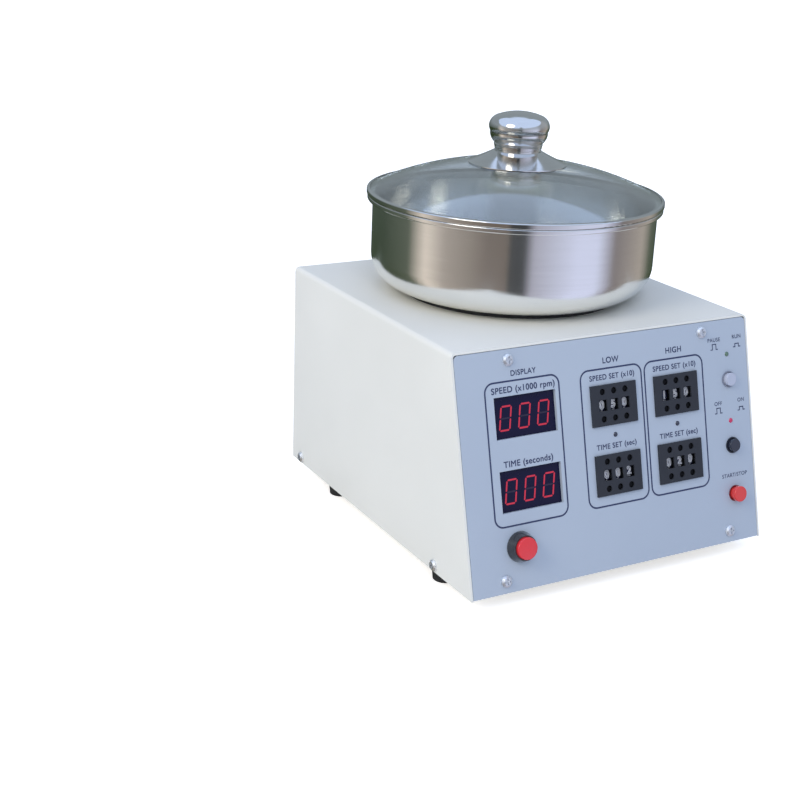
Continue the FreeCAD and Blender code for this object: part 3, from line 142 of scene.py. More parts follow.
camera = bpy.data.objects.new("camera", bpy.data.cameras.new("camera"))
scene.collection.objects.link(camera)
camera.data.lens = LENS
camera.data.clip_start, camera.data.clip_end = 0.01, 30
camera.matrix_world = (
    Matrix.Translation(CAMERA_PLACE)
    @ Matrix.Rotation(math.radians(-CAMERA_TURN), 4, "Z")
    @ Matrix.Rotation(math.radians(90 - CAMERA_DOWN), 4, "X")
    @ Matrix.Rotation(math.radians(CAMERA_ROLL), 4, "Z")
)
scene.camera = camera

# %% [markdown]
# ## Node helpers
#
# Materials, the world and the geometry recipes are all node trees. A few small helpers keep the lessons short. The
# main one, `add`, puts in a node with its settings, and the others add a Math node, a blend and a colour ramp.


# %% Node helpers
def add(tree, kind, settings=(), **inputs):
    """Add a node, set its properties, then link or set its inputs, whose names are written with underscores."""
    node = tree.nodes.new(kind)
    for name, value in dict(settings).items():
        setattr(node, name, value)
    for name, value in inputs.items():
        key = int(name[1:]) if name[0] == "i" and name[1:].isdigit() else name.replace("_", " ")
        socket = node.inputs[key]
        if isinstance(value, bpy.types.NodeSocket):
            tree.links.new(value, socket)
        else:
            socket.default_value = value
    return node


def math_node(tree, operation, first, second=0.0):
    return add(tree, "ShaderNodeMath", {"operation": operation}, i0=first, i1=second).outputs[0]


def mixed(tree, share, first, second):
    """A blend of two colours."""
    node = add(tree, "ShaderNodeMix", {"data_type": "RGBA"})
    for socket, value in ((node.inputs[0], share), (node.inputs[6], first), (node.inputs[7], second)):
        if isinstance(value, bpy.types.NodeSocket):
            tree.links.new(value, socket)
        else:
            socket.default_value = value
    return node.outputs[2]


def ramp(tree, value, stops):
    """A colour ramp through (position, colour) stops."""
    node = add(tree, "ShaderNodeValToRGB", i0=value)
    marks = node.color_ramp.elements
    while len(marks) < len(stops):
        marks.new(0.5)
    for mark, (position, colour) in zip(marks, stops):
        mark.position = position
        mark.color = colour
    return node.outputs[0]


def grey(level):
    return (level, level, level, 1)


# %% [markdown]
# ## Light
#
# Polished and brushed steel have hardly any colour of their own: they show what stands round them. So the world does
# three jobs. Seen directly, or straight through glass, it is white. As light it is a soft sky, grey at the horizon
# and blue overhead. In reflections it is a courtyard: a pale sky with one bright cloud, and round the sides dark
# trees behind the machine, a sunlit wall to its left, a dark door by the camera and a bright window to its right.
# Towards the skyline all this fades into haze.

# %% The world
world = bpy.data.worlds.new("studio")
scene.world = world
world.use_nodes = True
sky = world.node_tree
sky.nodes.clear()
sky_way = add(sky, "ShaderNodeTexCoord").outputs["Generated"]
direction = add(sky, "ShaderNodeSeparateXYZ", i0=sky_way)
# the angle round the machine, counted from the camera's side towards the right, as a share of a whole turn
to_camera = CAMERA_PLACE - spin_axis
start = math.atan2(to_camera.y, to_camera.x) / math.tau
around = math_node(sky, "ARCTAN2", direction.outputs["Y"], direction.outputs["X"])
around = math_node(sky, "DIVIDE", around, math.tau)
around = math_node(sky, "FRACT", math_node(sky, "ADD", around, 2.5 - start))
TREES, HEDGE = (0.04, 0.06, 0.03, 1), (0.1, 0.12, 0.08, 1)
SUNLIT, PLASTER, BROWN = (0.9, 0.8, 0.7, 1), (0.45, 0.4, 0.35, 1), (0.2, 0.16, 0.13, 1)
DOOR, SHADE = (0.05, 0.05, 0.05, 1), (0.25, 0.22, 0.22, 1)
WINDOW_EDGE, WINDOW = (0.5, 0.5, 0.6, 1), (0.8, 0.85, 1.1, 1)
walls = ramp(
    sky,
    around,
    [
        (0.0, TREES),
        (0.15, TREES),
        (0.25, HEDGE),
        (0.3, SUNLIT),
        (0.35, PLASTER),
        (0.45, BROWN),
        (0.49, BROWN),
        (0.5, DOOR),
        (0.53, DOOR),
        (0.55, WINDOW_EDGE),
        (0.65, WINDOW),
        (0.7, WINDOW),
        (0.75, SHADE),
        (0.85, PLASTER),
        (0.9, HEDGE),
        (0.95, TREES),
    ],
)
HAZE, PALE_SKY, CLOUD_LIGHT = (0.4, 0.46, 0.52, 1), (0.72, 0.88, 1.2, 1), (5.0, 4.9, 4.6, 1)
haze = add(sky, "ShaderNodeMapRange", Value=direction.outputs["Z"], From_Min=-0.25, From_Max=0.25, To_Max=0.75)
distance = mixed(sky, haze.outputs[0], walls, HAZE)
# how high the roofs and trees stand round the machine: high behind it, low at its sides, with a tree by the camera
skyline = ramp(
    sky,
    around,
    [
        (0.0, grey(0.7)),
        (0.1, grey(0.7)),
        (0.2, grey(0.6)),
        (0.3, grey(0.35)),
        (0.45, grey(0.25)),
        (0.5, grey(0.3)),
        (0.52, grey(0.5)),
        (0.55, grey(0.3)),
        (0.75, grey(0.5)),
        (0.9, grey(0.7)),
    ],
)
above = math_node(sky, "SUBTRACT", direction.outputs["Z"], skyline)
open_sky = add(
    sky, "ShaderNodeMapRange", {"interpolation_type": "SMOOTHSTEP"}, Value=above, From_Min=-0.015, From_Max=0.015
)
room = mixed(sky, open_sky.outputs[0], distance, PALE_SKY)
# a bright cloud stands in front of the machine, on its left
CLOUD_TURN, CLOUD_RISE = math.radians(-37), math.radians(32)
cloud_turn = start * math.tau + CLOUD_TURN
cloud_way = (
    math.cos(cloud_turn) * math.cos(CLOUD_RISE),
    math.sin(cloud_turn) * math.cos(CLOUD_RISE),
    math.sin(CLOUD_RISE),
)
facing = add(sky, "ShaderNodeVectorMath", {"operation": "DOT_PRODUCT"}, i0=sky_way, i1=cloud_way).outputs["Value"]
# the cosines of the angles from its middle at which the cloud begins and is full
CLOUD_EDGE, CLOUD_FULL = 0.955, 0.985
cloud = add(
    sky,
    "ShaderNodeMapRange",
    {"interpolation_type": "SMOOTHSTEP"},
    Value=facing,
    From_Min=CLOUD_EDGE,
    From_Max=CLOUD_FULL,
)
room = mixed(sky, cloud.outputs[0], room, CLOUD_LIGHT)
HORIZON_LIGHT, OVERHEAD_LIGHT = (0.47, 0.47, 0.46, 1), (0.7, 0.84, 1.17, 1)
overhead = add(sky, "ShaderNodeMapRange", Value=direction.outputs["Z"], From_Min=0.0, From_Max=0.9)
soft_sky = mixed(sky, overhead.outputs[0], HORIZON_LIGHT, OVERHEAD_LIGHT)
path = add(sky, "ShaderNodeLightPath")
# a ray counts as mirrored from its first mirror bounce on, even where it then goes through glass
mirrored = math_node(sky, "GREATER_THAN", path.outputs["Glossy Depth"], 0.5)
seen = mixed(sky, mirrored, soft_sky, room)
unmirrored = math_node(sky, "SUBTRACT", 1.0, mirrored)
through = math_node(sky, "MULTIPLY", path.outputs["Is Transmission Ray"], unmirrored)
direct = math_node(sky, "MAXIMUM", path.outputs["Is Camera Ray"], through)
seen = mixed(sky, direct, seen, grey(1))
background = add(sky, "ShaderNodeBackground", Color=seen, Strength=1.0)
add(sky, "ShaderNodeOutputWorld", Surface=background.outputs[0])

# %% [markdown]
# Two large soft lamps give the shapes their light and shadow side: a strong warm one from the left, and a weaker
# neutral one from the front. They are big, so their shadows have soft edges. Steel and glass don't show them, because
# a bright disc would not belong in a courtyard.


# %% The lamps
def soft_lamp(name, place, size, power, colour):
    """A round lamp aimed at the middle of the machine."""
    lamp = bpy.data.objects.new(name, bpy.data.lights.new(name, "AREA"))
    scene.collection.objects.link(lamp)
    lamp.data.shape = "DISK"
    lamp.data.size = size
    lamp.data.energy = power
    lamp.data.color = colour
    lamp.location = place
    lamp.rotation_euler = ((cad_low + cad_high) / 2 - Vector(place)).to_track_quat("-Z", "Y").to_euler()
    lamp.visible_glossy = False
    lamp.visible_transmission = False


soft_lamp("left_lamp", (-1.5, -0.45, 1.15), size=0.9, power=13.2, colour=(1.0, 0.9, 0.72))
soft_lamp("front_lamp", (-0.5, -1.2, 1.3), size=0.7, power=4.2, colour=(0.97, 0.98, 1.0))

# %% [markdown]
# ## Floor
#
# The floor is one large pale sheet, so large that its edge is never in view. It takes the machine's shadow. Seen
# directly it also glows a little, which brings it up to the white round it. It is left out of mirror reflections, so
# that the steel shows the courtyard all the way down.

# %% The floor
FLOOR_HALF = 14.0
floor_mesh = bpy.data.meshes.new("floor")
floor_mesh.from_pydata(
    [(x * FLOOR_HALF, y * FLOOR_HALF, cad_low.z) for x, y in ((-1, -1), (1, -1), (1, 1), (-1, 1))],
    [],
    [(0, 1, 2, 3)],
)
floor = bpy.data.objects.new("floor", floor_mesh)
scene.collection.objects.link(floor)
paper = bpy.data.materials.new("pale_paper")
paper.use_nodes = True
paper_tree = paper.node_tree
paper_tree.nodes.clear()
shaded = add(paper_tree, "ShaderNodeBsdfDiffuse", Color=grey(0.9))
glow = add(paper_tree, "ShaderNodeEmission", Color=(1, 0.97, 0.93, 1), Strength=0.55)
lifted = add(paper_tree, "ShaderNodeAddShader", i0=shaded.outputs[0], i1=glow.outputs[0])
paper_path = add(paper_tree, "ShaderNodeLightPath")
paper_mix = add(
    paper_tree,
    "ShaderNodeMixShader",
    i0=paper_path.outputs["Is Camera Ray"],
    i1=shaded.outputs[0],
    i2=lifted.outputs[0],
)
add(paper_tree, "ShaderNodeOutputMaterial", Surface=paper_mix.outputs[0])
floor_mesh.materials.append(paper)
floor.visible_glossy = False
floor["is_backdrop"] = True

# %% [markdown]
# ## Effects that several finishes share
#
# A shader node group is a recipe with named inputs and outputs. Each is built once here and then placed in many
# materials with its own values. The groups only give heights, masks and values. The shader itself stays in each
# material.


# %% A helper that starts a node group
def shader_group(name, inputs, outputs):
    tree = bpy.data.node_groups.new(name, "ShaderNodeTree")
    for label, kind, value in inputs:
        socket = tree.interface.new_socket(label, in_out="INPUT", socket_type=f"NodeSocket{kind}")
        socket.default_value = value
    for label, kind in outputs:
        tree.interface.new_socket(label, in_out="OUTPUT", socket_type=f"NodeSocket{kind}")
    return tree, tree.nodes.new("NodeGroupInput"), tree.nodes.new("NodeGroupOutput")


def object_place(tree):
    return add(tree, "ShaderNodeTexCoord").outputs["Object"]


# %% [markdown]
# ### Orange peel
# Powder coat and sprayed paint flow out into a faint, soft dimpling, a millimetre or two across. The group gives it
# as a height, with a slow change of tone that keeps a large sheet from looking computed.

# %% Group: orange peel
orange_peel, peel_in, peel_out = shader_group(
    "orange_peel",
    [("Dimples per metre", "Float", 700.0), ("Fading per metre", "Float", 9.0)],
    [("Height", "Float"), ("Fading", "Float")],
)
dimples = add(
    orange_peel,
    "ShaderNodeTexNoise",
    Vector=object_place(orange_peel),
    Scale=peel_in.outputs[0],
    Detail=2.0,
    Roughness=0.45,
)
fading = add(
    orange_peel,
    "ShaderNodeTexNoise",
    Vector=object_place(orange_peel),
    Scale=peel_in.outputs[1],
    Detail=3.0,
)
orange_peel.links.new(dimples.outputs[0], peel_out.inputs["Height"])
orange_peel.links.new(fading.outputs[0], peel_out.inputs["Fading"])

# %% [markdown]
# ### Turned lines
# Bowls, lids and knobs are polished while they spin, so their fine scratches run round the axis. The group measures
# each point's distance from the spin axis and its height, and draws a noise that changes quickly along those two
# but slowly round the circle.

# %% Group: turned lines
turned_lines, turn_in, turn_out = shader_group(
    "turned_lines",
    [("Lines per metre", "Float", 9000.0), ("Breaks round the circle", "Float", 3.0)],
    [("Height", "Float"), ("Lines", "Float"), ("Bands", "Float")],
)
off_axis = add(
    turned_lines,
    "ShaderNodeVectorMath",
    {"operation": "SUBTRACT"},
    i0=object_place(turned_lines),
    i1=(spin_axis.x, spin_axis.y, 0),
)
parts = add(turned_lines, "ShaderNodeSeparateXYZ", i0=off_axis.outputs[0])
flat = add(turned_lines, "ShaderNodeCombineXYZ", X=parts.outputs["X"], Y=parts.outputs["Y"])
radius = add(turned_lines, "ShaderNodeVectorMath", {"operation": "LENGTH"}, i0=flat.outputs[0]).outputs["Value"]
angle = math_node(turned_lines, "ARCTAN2", parts.outputs["Y"], parts.outputs["X"])
wound = add(
    turned_lines,
    "ShaderNodeCombineXYZ",
    X=math_node(turned_lines, "MULTIPLY", radius, turn_in.outputs[0]),
    Y=math_node(turned_lines, "MULTIPLY", parts.outputs["Z"], turn_in.outputs[0]),
    Z=math_node(turned_lines, "MULTIPLY", angle, turn_in.outputs[1]),
)
fine = add(turned_lines, "ShaderNodeTexNoise", Vector=wound.outputs[0], Scale=1.0, Detail=3.0)
# the broad bands are the same lines drawn out, much wider across them and a little longer round the circle
broad_place = add(
    turned_lines, "ShaderNodeVectorMath", {"operation": "MULTIPLY"}, i0=wound.outputs[0], i1=(0.06, 0.06, 0.8)
)
broad = add(turned_lines, "ShaderNodeTexNoise", Vector=broad_place.outputs[0], Scale=1.0, Detail=2.0)
turned_lines.links.new(fine.outputs[0], turn_out.inputs["Height"])
turned_lines.links.new(fine.outputs[0], turn_out.inputs["Lines"])
turned_lines.links.new(broad.outputs[0], turn_out.inputs["Bands"])

# %% [markdown]
# ### Smudges
# Anything glossy is slightly uneven: wiped, touched, a little dusty. The group gives soft patches that the shiny
# finishes use to vary their roughness.

# %% Group: smudges
smudges, smudge_in, smudge_out = shader_group(
    "smudges",
    [("Patches per metre", "Float", 60.0), ("Clean", "Float", 0.1), ("Dull", "Float", 0.25)],
    [("Roughness", "Float")],
)
patches = add(
    smudges,
    "ShaderNodeTexNoise",
    Vector=object_place(smudges),
    Scale=smudge_in.outputs[0],
    Detail=4.0,
    Distortion=0.6,
)
spread = add(
    smudges,
    "ShaderNodeMapRange",
    Value=patches.outputs[0],
    From_Min=0.35,
    From_Max=0.7,
    To_Min=smudge_in.outputs[1],
    To_Max=smudge_in.outputs[2],
)
smudges.links.new(spread.outputs[0], smudge_out.inputs[0])

# %% [markdown]
# ### Moulded grain
# Plastic and rubber parts take the texture of their mould: a fine, even grain of small bumps.

# %% Group: moulded grain
moulded_grain, grain_in, grain_out = shader_group(
    "moulded_grain",
    [("Grains per metre", "Float", 3500.0)],
    [("Height", "Float")],
)
grains = add(
    moulded_grain,
    "ShaderNodeTexVoronoi",
    {"feature": "SMOOTH_F1"},
    Vector=object_place(moulded_grain),
    Scale=grain_in.outputs[0],
)
moulded_grain.links.new(grains.outputs["Distance"], grain_out.inputs[0])

# %% [markdown]
# ## Finishes
#
# Every material starts the same way: a Principled shader and an output. `finish` makes those two. The functions
# after it then wire in their colours, roughness and bumps.


# %% Helpers for the finishes
def rgb(red, green, blue):
    """A colour given as a painter's 0 to 255 values, turned into the linear light that shaders work in."""

    def linear(channel):
        share = channel / 255
        return share / 12.92 if share <= 0.04045 else ((share + 0.055) / 1.055) ** 2.4

    return (linear(red), linear(green), linear(blue), 1)


def finish(name, **inputs):
    """A new material, its node tree and its Principled shader."""
    material = bpy.data.materials.new(name)
    material.use_nodes = True
    tree = material.node_tree
    tree.nodes.clear()
    shader = add(tree, "ShaderNodeBsdfPrincipled", **inputs)
    add(tree, "ShaderNodeOutputMaterial", Surface=shader.outputs[0])
    return material, tree, shader


def use_group(tree, group, **inputs):
    return add(tree, "ShaderNodeGroup", {"node_tree": group}, **inputs)


def bump(tree, shader, height, depth):
    """Roughen a surface by a height that changes over it. The depth is in metres."""
    node = add(tree, "ShaderNodeBump", Height=height, Distance=depth, Strength=1.0)
    tree.links.new(node.outputs[0], shader.inputs["Normal"])


def vary(tree, value, low, high):
    """Spread a noise, which rarely leaves 0.3 to 0.7, over the range from low to high."""
    node = add(tree, "ShaderNodeMapRange", Value=value, From_Min=0.3, From_Max=0.7, To_Min=low, To_Max=high)
    return node.outputs[0]


def two_tone(tree, shader, noise, first, second):
    """Let the base colour drift between two colours."""
    tree.links.new(mixed(tree, vary(tree, noise, 0.0, 1.0), first, second), shader.inputs["Base Color"])


def smudge(tree, shader, patches, clean, dull):
    """Let the roughness drift between two values in so many patches per metre."""
    marks = use_group(tree, smudges, Patches_per_metre=patches, Clean=clean, Dull=dull)
    tree.links.new(marks.outputs[0], shader.inputs["Roughness"])


# %% [markdown]
# ### Paint
# The cover, the pan with the rear wall and the panel are all coated steel: a warm white powder coat on the first two
# and a pale blue satin on the panel. They get orange peel, and a tone that drifts by a few percent.


# %% Paint
def paint(name, colour, deeper, rough, dimples):
    material, tree, shader = finish(name)
    peel = use_group(tree, orange_peel, Dimples_per_metre=dimples)
    two_tone(tree, shader, peel.outputs["Fading"], colour, deeper)
    smudge(tree, shader, 25.0, rough, rough + 0.12)
    bump(tree, shader, peel.outputs["Height"], 0.03 * MM)
    return material


case_paint = paint("case_paint", rgb(226, 226, 219), rgb(222, 222, 215), 0.42, 900.0)
panel_paint = paint("panel_paint", rgb(173, 184, 197), rgb(169, 180, 194), 0.38, 1400.0)

# %% [markdown]
# ### Brushed and polished steel
# The bowl is brushed round its axis, so a light on it smears into a tall streak. The Anisotropic input does that.
# The Tangent node says which way round is, and a quarter turn of the rotation sets the smear across the lines. The
# lid's rim, knob and dish are polished further: the same lines, but shallow.


# %% Steel
LINE_DEPTH = 0.0002 * MM


def turned_steel(name, colour, rough, spread, streak):
    material, tree, shader = finish(name, Metallic=1.0, Anisotropic=streak, Anisotropic_Rotation=0.25)
    lines = use_group(tree, turned_lines)
    darker = tuple(channel * 0.97 for channel in colour[:3]) + (1,)
    two_tone(tree, shader, lines.outputs["Bands"], colour, darker)
    tree.links.new(vary(tree, lines.outputs["Lines"], rough, rough + spread), shader.inputs["Roughness"])
    tangent = add(tree, "ShaderNodeTangent", {"direction_type": "RADIAL", "axis": "Z"})
    tree.links.new(tangent.outputs[0], shader.inputs["Tangent"])
    bump(tree, shader, lines.outputs["Height"], LINE_DEPTH)
    return material


brushed_steel = turned_steel("brushed_steel", (0.79, 0.785, 0.775, 1), rough=0.16, spread=0.03, streak=0.8)
polished_steel = turned_steel("polished_steel", (0.72, 0.715, 0.705, 1), rough=0.08, spread=0.04, streak=0.4)


# %% [markdown]
# ### Plain metals
# Screws, nuts and the hidden motor parts are plated or machined. They need only a colour, a roughness that smudges
# vary, and a hint of tool marks.


# %% Plain metals
def plain_metal(name, colour, clean, dull):
    material, tree, shader = finish(name, Metallic=1.0, Base_Color=colour)
    smudge(tree, shader, 400.0, clean, dull)
    peel = use_group(tree, orange_peel, Dimples_per_metre=2500.0)
    bump(tree, shader, peel.outputs["Height"], 0.01 * MM)
    return material


screw_plating = plain_metal("screw_plating", (0.84, 0.85, 0.87, 1), 0.5, 0.62)
machined_aluminium = plain_metal("machined_aluminium", (0.77, 0.78, 0.79, 1), 0.3, 0.4)
ground_steel = plain_metal("ground_steel", (0.6, 0.6, 0.6, 1), 0.15, 0.25)
nickelled_brass = plain_metal("nickelled_brass", (0.72, 0.58, 0.34, 1), 0.25, 0.35)
motor_enamel = paint("motor_enamel", rgb(34, 35, 38), rgb(28, 29, 32), 0.35, 1500.0)

# %% [markdown]
# ### Glass
# The lid is clear tempered glass with a breath of green. A clear coat of a denser kind strengthens what it mirrors.
# Light would need many bounces to find its way through it, so shadow rays and soft light pass straight through
# instead: the bowl's inside stays lit.

# %% Glass
GLASS_GREEN = (0.94, 0.975, 0.965, 1)


def clear_glass():
    material, tree, glass = finish(
        "lid_glass",
        Base_Color=GLASS_GREEN,
        Transmission_Weight=1.0,
        IOR=1.5,
        Coat_Weight=0.7,
        Coat_Roughness=0.0,
        Coat_IOR=1.6,
    )
    smudge(tree, glass, 30.0, 0.0, 0.008)
    open_way = add(tree, "ShaderNodeBsdfTransparent", Color=GLASS_GREEN)
    rays = add(tree, "ShaderNodeLightPath")
    passing = math_node(tree, "MAXIMUM", rays.outputs["Is Shadow Ray"], rays.outputs["Is Diffuse Ray"])
    both = add(tree, "ShaderNodeMixShader", i0=passing, i1=glass.outputs[0], i2=open_way.outputs[0])
    tree.links.new(both.outputs[0], tree.nodes["Material Output"].inputs["Surface"])
    return material


lid_glass = clear_glass()


# %% [markdown]
# ### Plastic and rubber
# Matt mouldings show their grain. Glossy caps and the display windows are smooth, and a thin clear coat gives the
# caps their sharp highlight.


# %% Plastic and rubber
def matt_plastic(name, colour, rough, depth=0.02 * MM, shine=0.5):
    material, tree, shader = finish(name, Base_Color=colour, Specular_IOR_Level=shine)
    smudge(tree, shader, 120.0, rough, rough + 0.15)
    grain = use_group(tree, moulded_grain)
    bump(tree, shader, grain.outputs[0], depth)
    return material


def glossy_plastic(name, colour, clean=0.12, glow=0.0, coat=0.4, shine=0.5):
    material, tree, shader = finish(
        name,
        Base_Color=colour,
        Specular_IOR_Level=shine,
        Coat_Weight=coat,
        Coat_Roughness=0.06,
        Emission_Color=colour,
        Emission_Strength=glow,
    )
    smudge(tree, shader, 180.0, clean, clean + 0.12)
    return material


black_moulding = matt_plastic("black_moulding", rgb(44, 47, 54), 0.45, shine=0.35)
# the keys are near black: the colour is their own black plastic and also painted shade of the holes round them
key_plastic = matt_plastic("key_plastic", rgb(14, 15, 18), 0.5, shine=0.1)
wheel_plastic = matt_plastic("wheel_plastic", rgb(30, 32, 66), 0.4, shine=0.3)
black_rubber = matt_plastic("black_rubber", rgb(38, 38, 40), 0.7, 0.05 * MM)
silicone_hose = matt_plastic("silicone_hose", rgb(200, 203, 200), 0.3)
white_acetal = matt_plastic("white_acetal", rgb(232, 232, 226), 0.35)
red_cap = glossy_plastic("red_cap", rgb(214, 58, 56))
lit_red_cap = glossy_plastic("lit_red_cap", rgb(206, 44, 52), glow=0.12)
white_cap = glossy_plastic("white_cap", rgb(176, 182, 198))
black_gloss = glossy_plastic("black_gloss", rgb(40, 41, 44), clean=0.16, coat=0.6)
black_cap = glossy_plastic("black_cap", rgb(34, 39, 54))
window_filter = glossy_plastic("window_filter", rgb(16, 15, 48), clean=0.2, coat=0.0, shine=0.2)

# %% [markdown]
# ### Printing and figures
# The ink on the panel is a flat navy. The wheels' figures are white. The display's figures glow red, and the bars
# that are off stay just visible in the dark window.


# %% Printing and figures
def flat_ink(name, colour, rough):
    material, tree, shader = finish(name)
    peel = use_group(tree, orange_peel, Dimples_per_metre=2000.0, Fading_per_metre=400.0)
    lighter = tuple(min(1.0, channel * 1.25) for channel in colour[:3]) + (1,)
    two_tone(tree, shader, peel.outputs["Fading"], colour, lighter)
    shader.inputs["Roughness"].default_value = rough
    return material


panel_ink = flat_ink("panel_ink", rgb(44, 52, 84), 0.45)
figure_white = flat_ink("figure_white", rgb(246, 247, 252), 0.5)
dark_bar = flat_ink("dark_bar", rgb(28, 14, 46), 0.3)
lit_bar, _, _ = finish(
    "lit_bar", Base_Color=rgb(120, 20, 36), Emission_Color=rgb(196, 40, 66), Emission_Strength=0.68
)

# %% [markdown]
# ### Lamp lenses
# All four small lamps are one node, so its material picks the colour by place: the two stage lamps are dark, and of
# the two by the buttons the upper is green and the lower red.


# %% Lamp lenses
def lamp_lenses():
    material, tree, shader = finish("lamp_lenses", Roughness=0.12, Coat_Weight=0.6)
    place = add(tree, "ShaderNodeSeparateXYZ", i0=object_place(tree))
    edge = (lamps[1].x + lamps[-1].x) / 2
    by_buttons = math_node(tree, "GREATER_THAN", place.outputs["X"], edge)
    state = [PANEL @ lamp for lamp in lamps if lamp.x > edge]
    upper = math_node(tree, "GREATER_THAN", place.outputs["Z"], sum(lamp.z for lamp in state) / len(state))
    lens = mixed(tree, upper, rgb(180, 42, 84), rgb(78, 104, 88))
    colour = mixed(tree, by_buttons, rgb(46, 50, 66), lens)
    tree.links.new(colour, shader.inputs["Base Color"])
    tree.links.new(mixed(tree, by_buttons, grey(0), lens), shader.inputs["Emission Color"])
    shader.inputs["Emission Strength"].default_value = 0.15
    return material


# %% [markdown]
# ### Bezels of the small push buttons
# The three barrels are one node too. Each has a bezel in the colour of its own cap, so here the height decides.


# %% Bezels
def button_bezels():
    material, tree, shader = finish("button_bezels", Roughness=0.3)
    height = add(tree, "ShaderNodeSeparateXYZ", i0=object_place(tree)).outputs["Z"]
    levels = [(low.z + high.z) / 2 for low, high in map(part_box, ("start_button", "vacuum_button", "pause_button"))]
    low_gap, high_gap = ((below + above) / 2 for below, above in zip(levels, levels[1:]))
    colour = mixed(tree, math_node(tree, "GREATER_THAN", height, low_gap), rgb(120, 34, 38), rgb(36, 40, 52))
    colour = mixed(tree, math_node(tree, "GREATER_THAN", height, high_gap), colour, rgb(128, 134, 150))
    tree.links.new(colour, shader.inputs["Base Color"])
    return material


# %% [markdown]
# ### Circuit boards
# The boards are hidden, but they are there. Both take the green of solder mask, a little uneven.


# %% Circuit boards
def green_board():
    material, tree, shader = finish("circuit_board")
    grain = use_group(tree, orange_peel, Dimples_per_metre=300.0, Fading_per_metre=160.0)
    two_tone(tree, shader, grain.outputs["Fading"], rgb(20, 92, 60), rgb(28, 110, 72))
    smudge(tree, shader, 200.0, 0.25, 0.45)
    bump(tree, shader, grain.outputs["Height"], 0.05 * MM)
    return material


circuit_board = green_board()

# %% Give every CAD node its finish
FINISHES = {
    "case_cover": case_paint,
    "chassis_pan": case_paint,
    "front_panel": panel_paint,
    "case_screws": screw_plating,
    "rubber_feet": black_rubber,
    "bowl_gasket": black_rubber,
    "spin_bowl": brushed_steel,
    "mounting_screws": screw_plating,
    "motor_plate": machined_aluminium,
    "motor_housing": motor_enamel,
    "motor_bearings": ground_steel,
    "vacuum_union": machined_aluminium,
    "vacuum_hose": silicone_hose,
    "vacuum_valve": machined_aluminium,
    "vacuum_port": nickelled_brass,
    "power_inlet": black_moulding,
    "control_board": circuit_board,
    "display_filters": window_filter,
    "display_board": circuit_board,
    "indicator_lamps": lamp_lenses(),
    "pushwheel_housings": black_moulding,
    "power_switch_body": black_gloss,
    "button_bodies": button_bezels(),
    "panel_nuts": nickelled_brass,
    "lid_glass": lid_glass,
    "lid_rim": polished_steel,
    "lid_knob": polished_steel,
    "knob_skirt": polished_steel,
    "knob_screw": screw_plating,
    "motor_spindle": ground_steel,
    "vacuum_chuck": white_acetal,
    "chuck_o_ring": black_rubber,
    "power_button": lit_red_cap,
    "pause_button": white_cap,
    "vacuum_button": black_cap,
    "start_button": red_cap,
}
for name, node in nodes.items():
    if "_wheel_" in name:
        coat = wheel_plastic
    elif "_keys_" in name:
        coat = key_plastic
    else:
        coat = FINISHES[name]
    node.data.materials.clear()
    node.data.materials.append(coat)
print("finished", len(nodes), "CAD nodes")


# %% [markdown]
# ## Geometry recipes
#
# Things that repeat are made with Geometry Nodes: a small tree with named inputs makes the shape, the result is
# taken as a plain mesh, and the tree's carrier is thrown away. `recipe` starts such a tree and `made_by` runs it.


# %% Helpers for the geometry recipes
def recipe(name, inputs):
    """A new Geometry Nodes tree with named inputs, given as (label, kind, value)."""
    tree = bpy.data.node_groups.new(name, "GeometryNodeTree")
    for label, kind, value in inputs:
        socket = tree.interface.new_socket(label, in_out="INPUT", socket_type=f"NodeSocket{kind}")
        if value is not None:
            socket.default_value = value
    tree.interface.new_socket("Geometry", in_out="OUTPUT", socket_type="NodeSocketGeometry")
    return tree, tree.nodes.new("NodeGroupInput"), tree.nodes.new("NodeGroupOutput")


def close_recipe(tree, tree_in, tree_out, geometry):
    """End a tree with Realize Instances and Set Material."""
    solid = add(tree, "GeometryNodeRealizeInstances", Geometry=geometry)
    coloured = add(
        tree, "GeometryNodeSetMaterial", Geometry=solid.outputs[0], Material=tree_in.outputs["Material"]
    )
    tree.links.new(coloured.outputs[0], tree_out.inputs[0])


def made_by(tree, **values):
    """Run a recipe with these values and return its result as a plain mesh."""
    carrier = bpy.data.objects.new(tree.name, bpy.data.meshes.new(tree.name))
    scene.collection.objects.link(carrier)
    modifier = carrier.modifiers.new("recipe", "NODES")
    modifier.node_group = tree
    for item in tree.interface.items_tree:
        key = item.name.replace(" ", "_")
        if item.in_out == "INPUT" and key in values:
            modifier[item.identifier] = values[key]
    whole = carrier.evaluated_get(bpy.context.evaluated_depsgraph_get())
    mesh = bpy.data.meshes.new_from_object(whole)
    bpy.data.objects.remove(carrier)
    return mesh


def joined(name, meshes_and_places):
    """One mesh from several, each moved to its place."""
    whole = bmesh.new()
    materials = []
    for mesh, place in meshes_and_places:
        part = mesh.copy()
        part.transform(place)
        for polygon in part.polygons:
            material = part.materials[polygon.material_index]
            if material not in materials:
                materials.append(material)
            polygon.material_index = materials.index(material)
        whole.from_mesh(part)
        bpy.data.meshes.remove(part)
    result = bpy.data.meshes.new(name)
    whole.to_mesh(result)
    whole.free()
    for material in materials:
        result.materials.append(material)
    return result


def piece(name, mesh, body):
    """Put a finished mesh in the scene as a piece that moves with a body."""
    mesh.name = name
    made = bpy.data.objects.new(name, mesh)
    scene.collection.objects.link(made)
    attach(made, body)
    print(f"{name}: {len(mesh.polygons)} faces on {body}")
    return made


def on_panel(across, up, out=0.0):
    return PANEL @ Matrix.Translation((across, up, out))


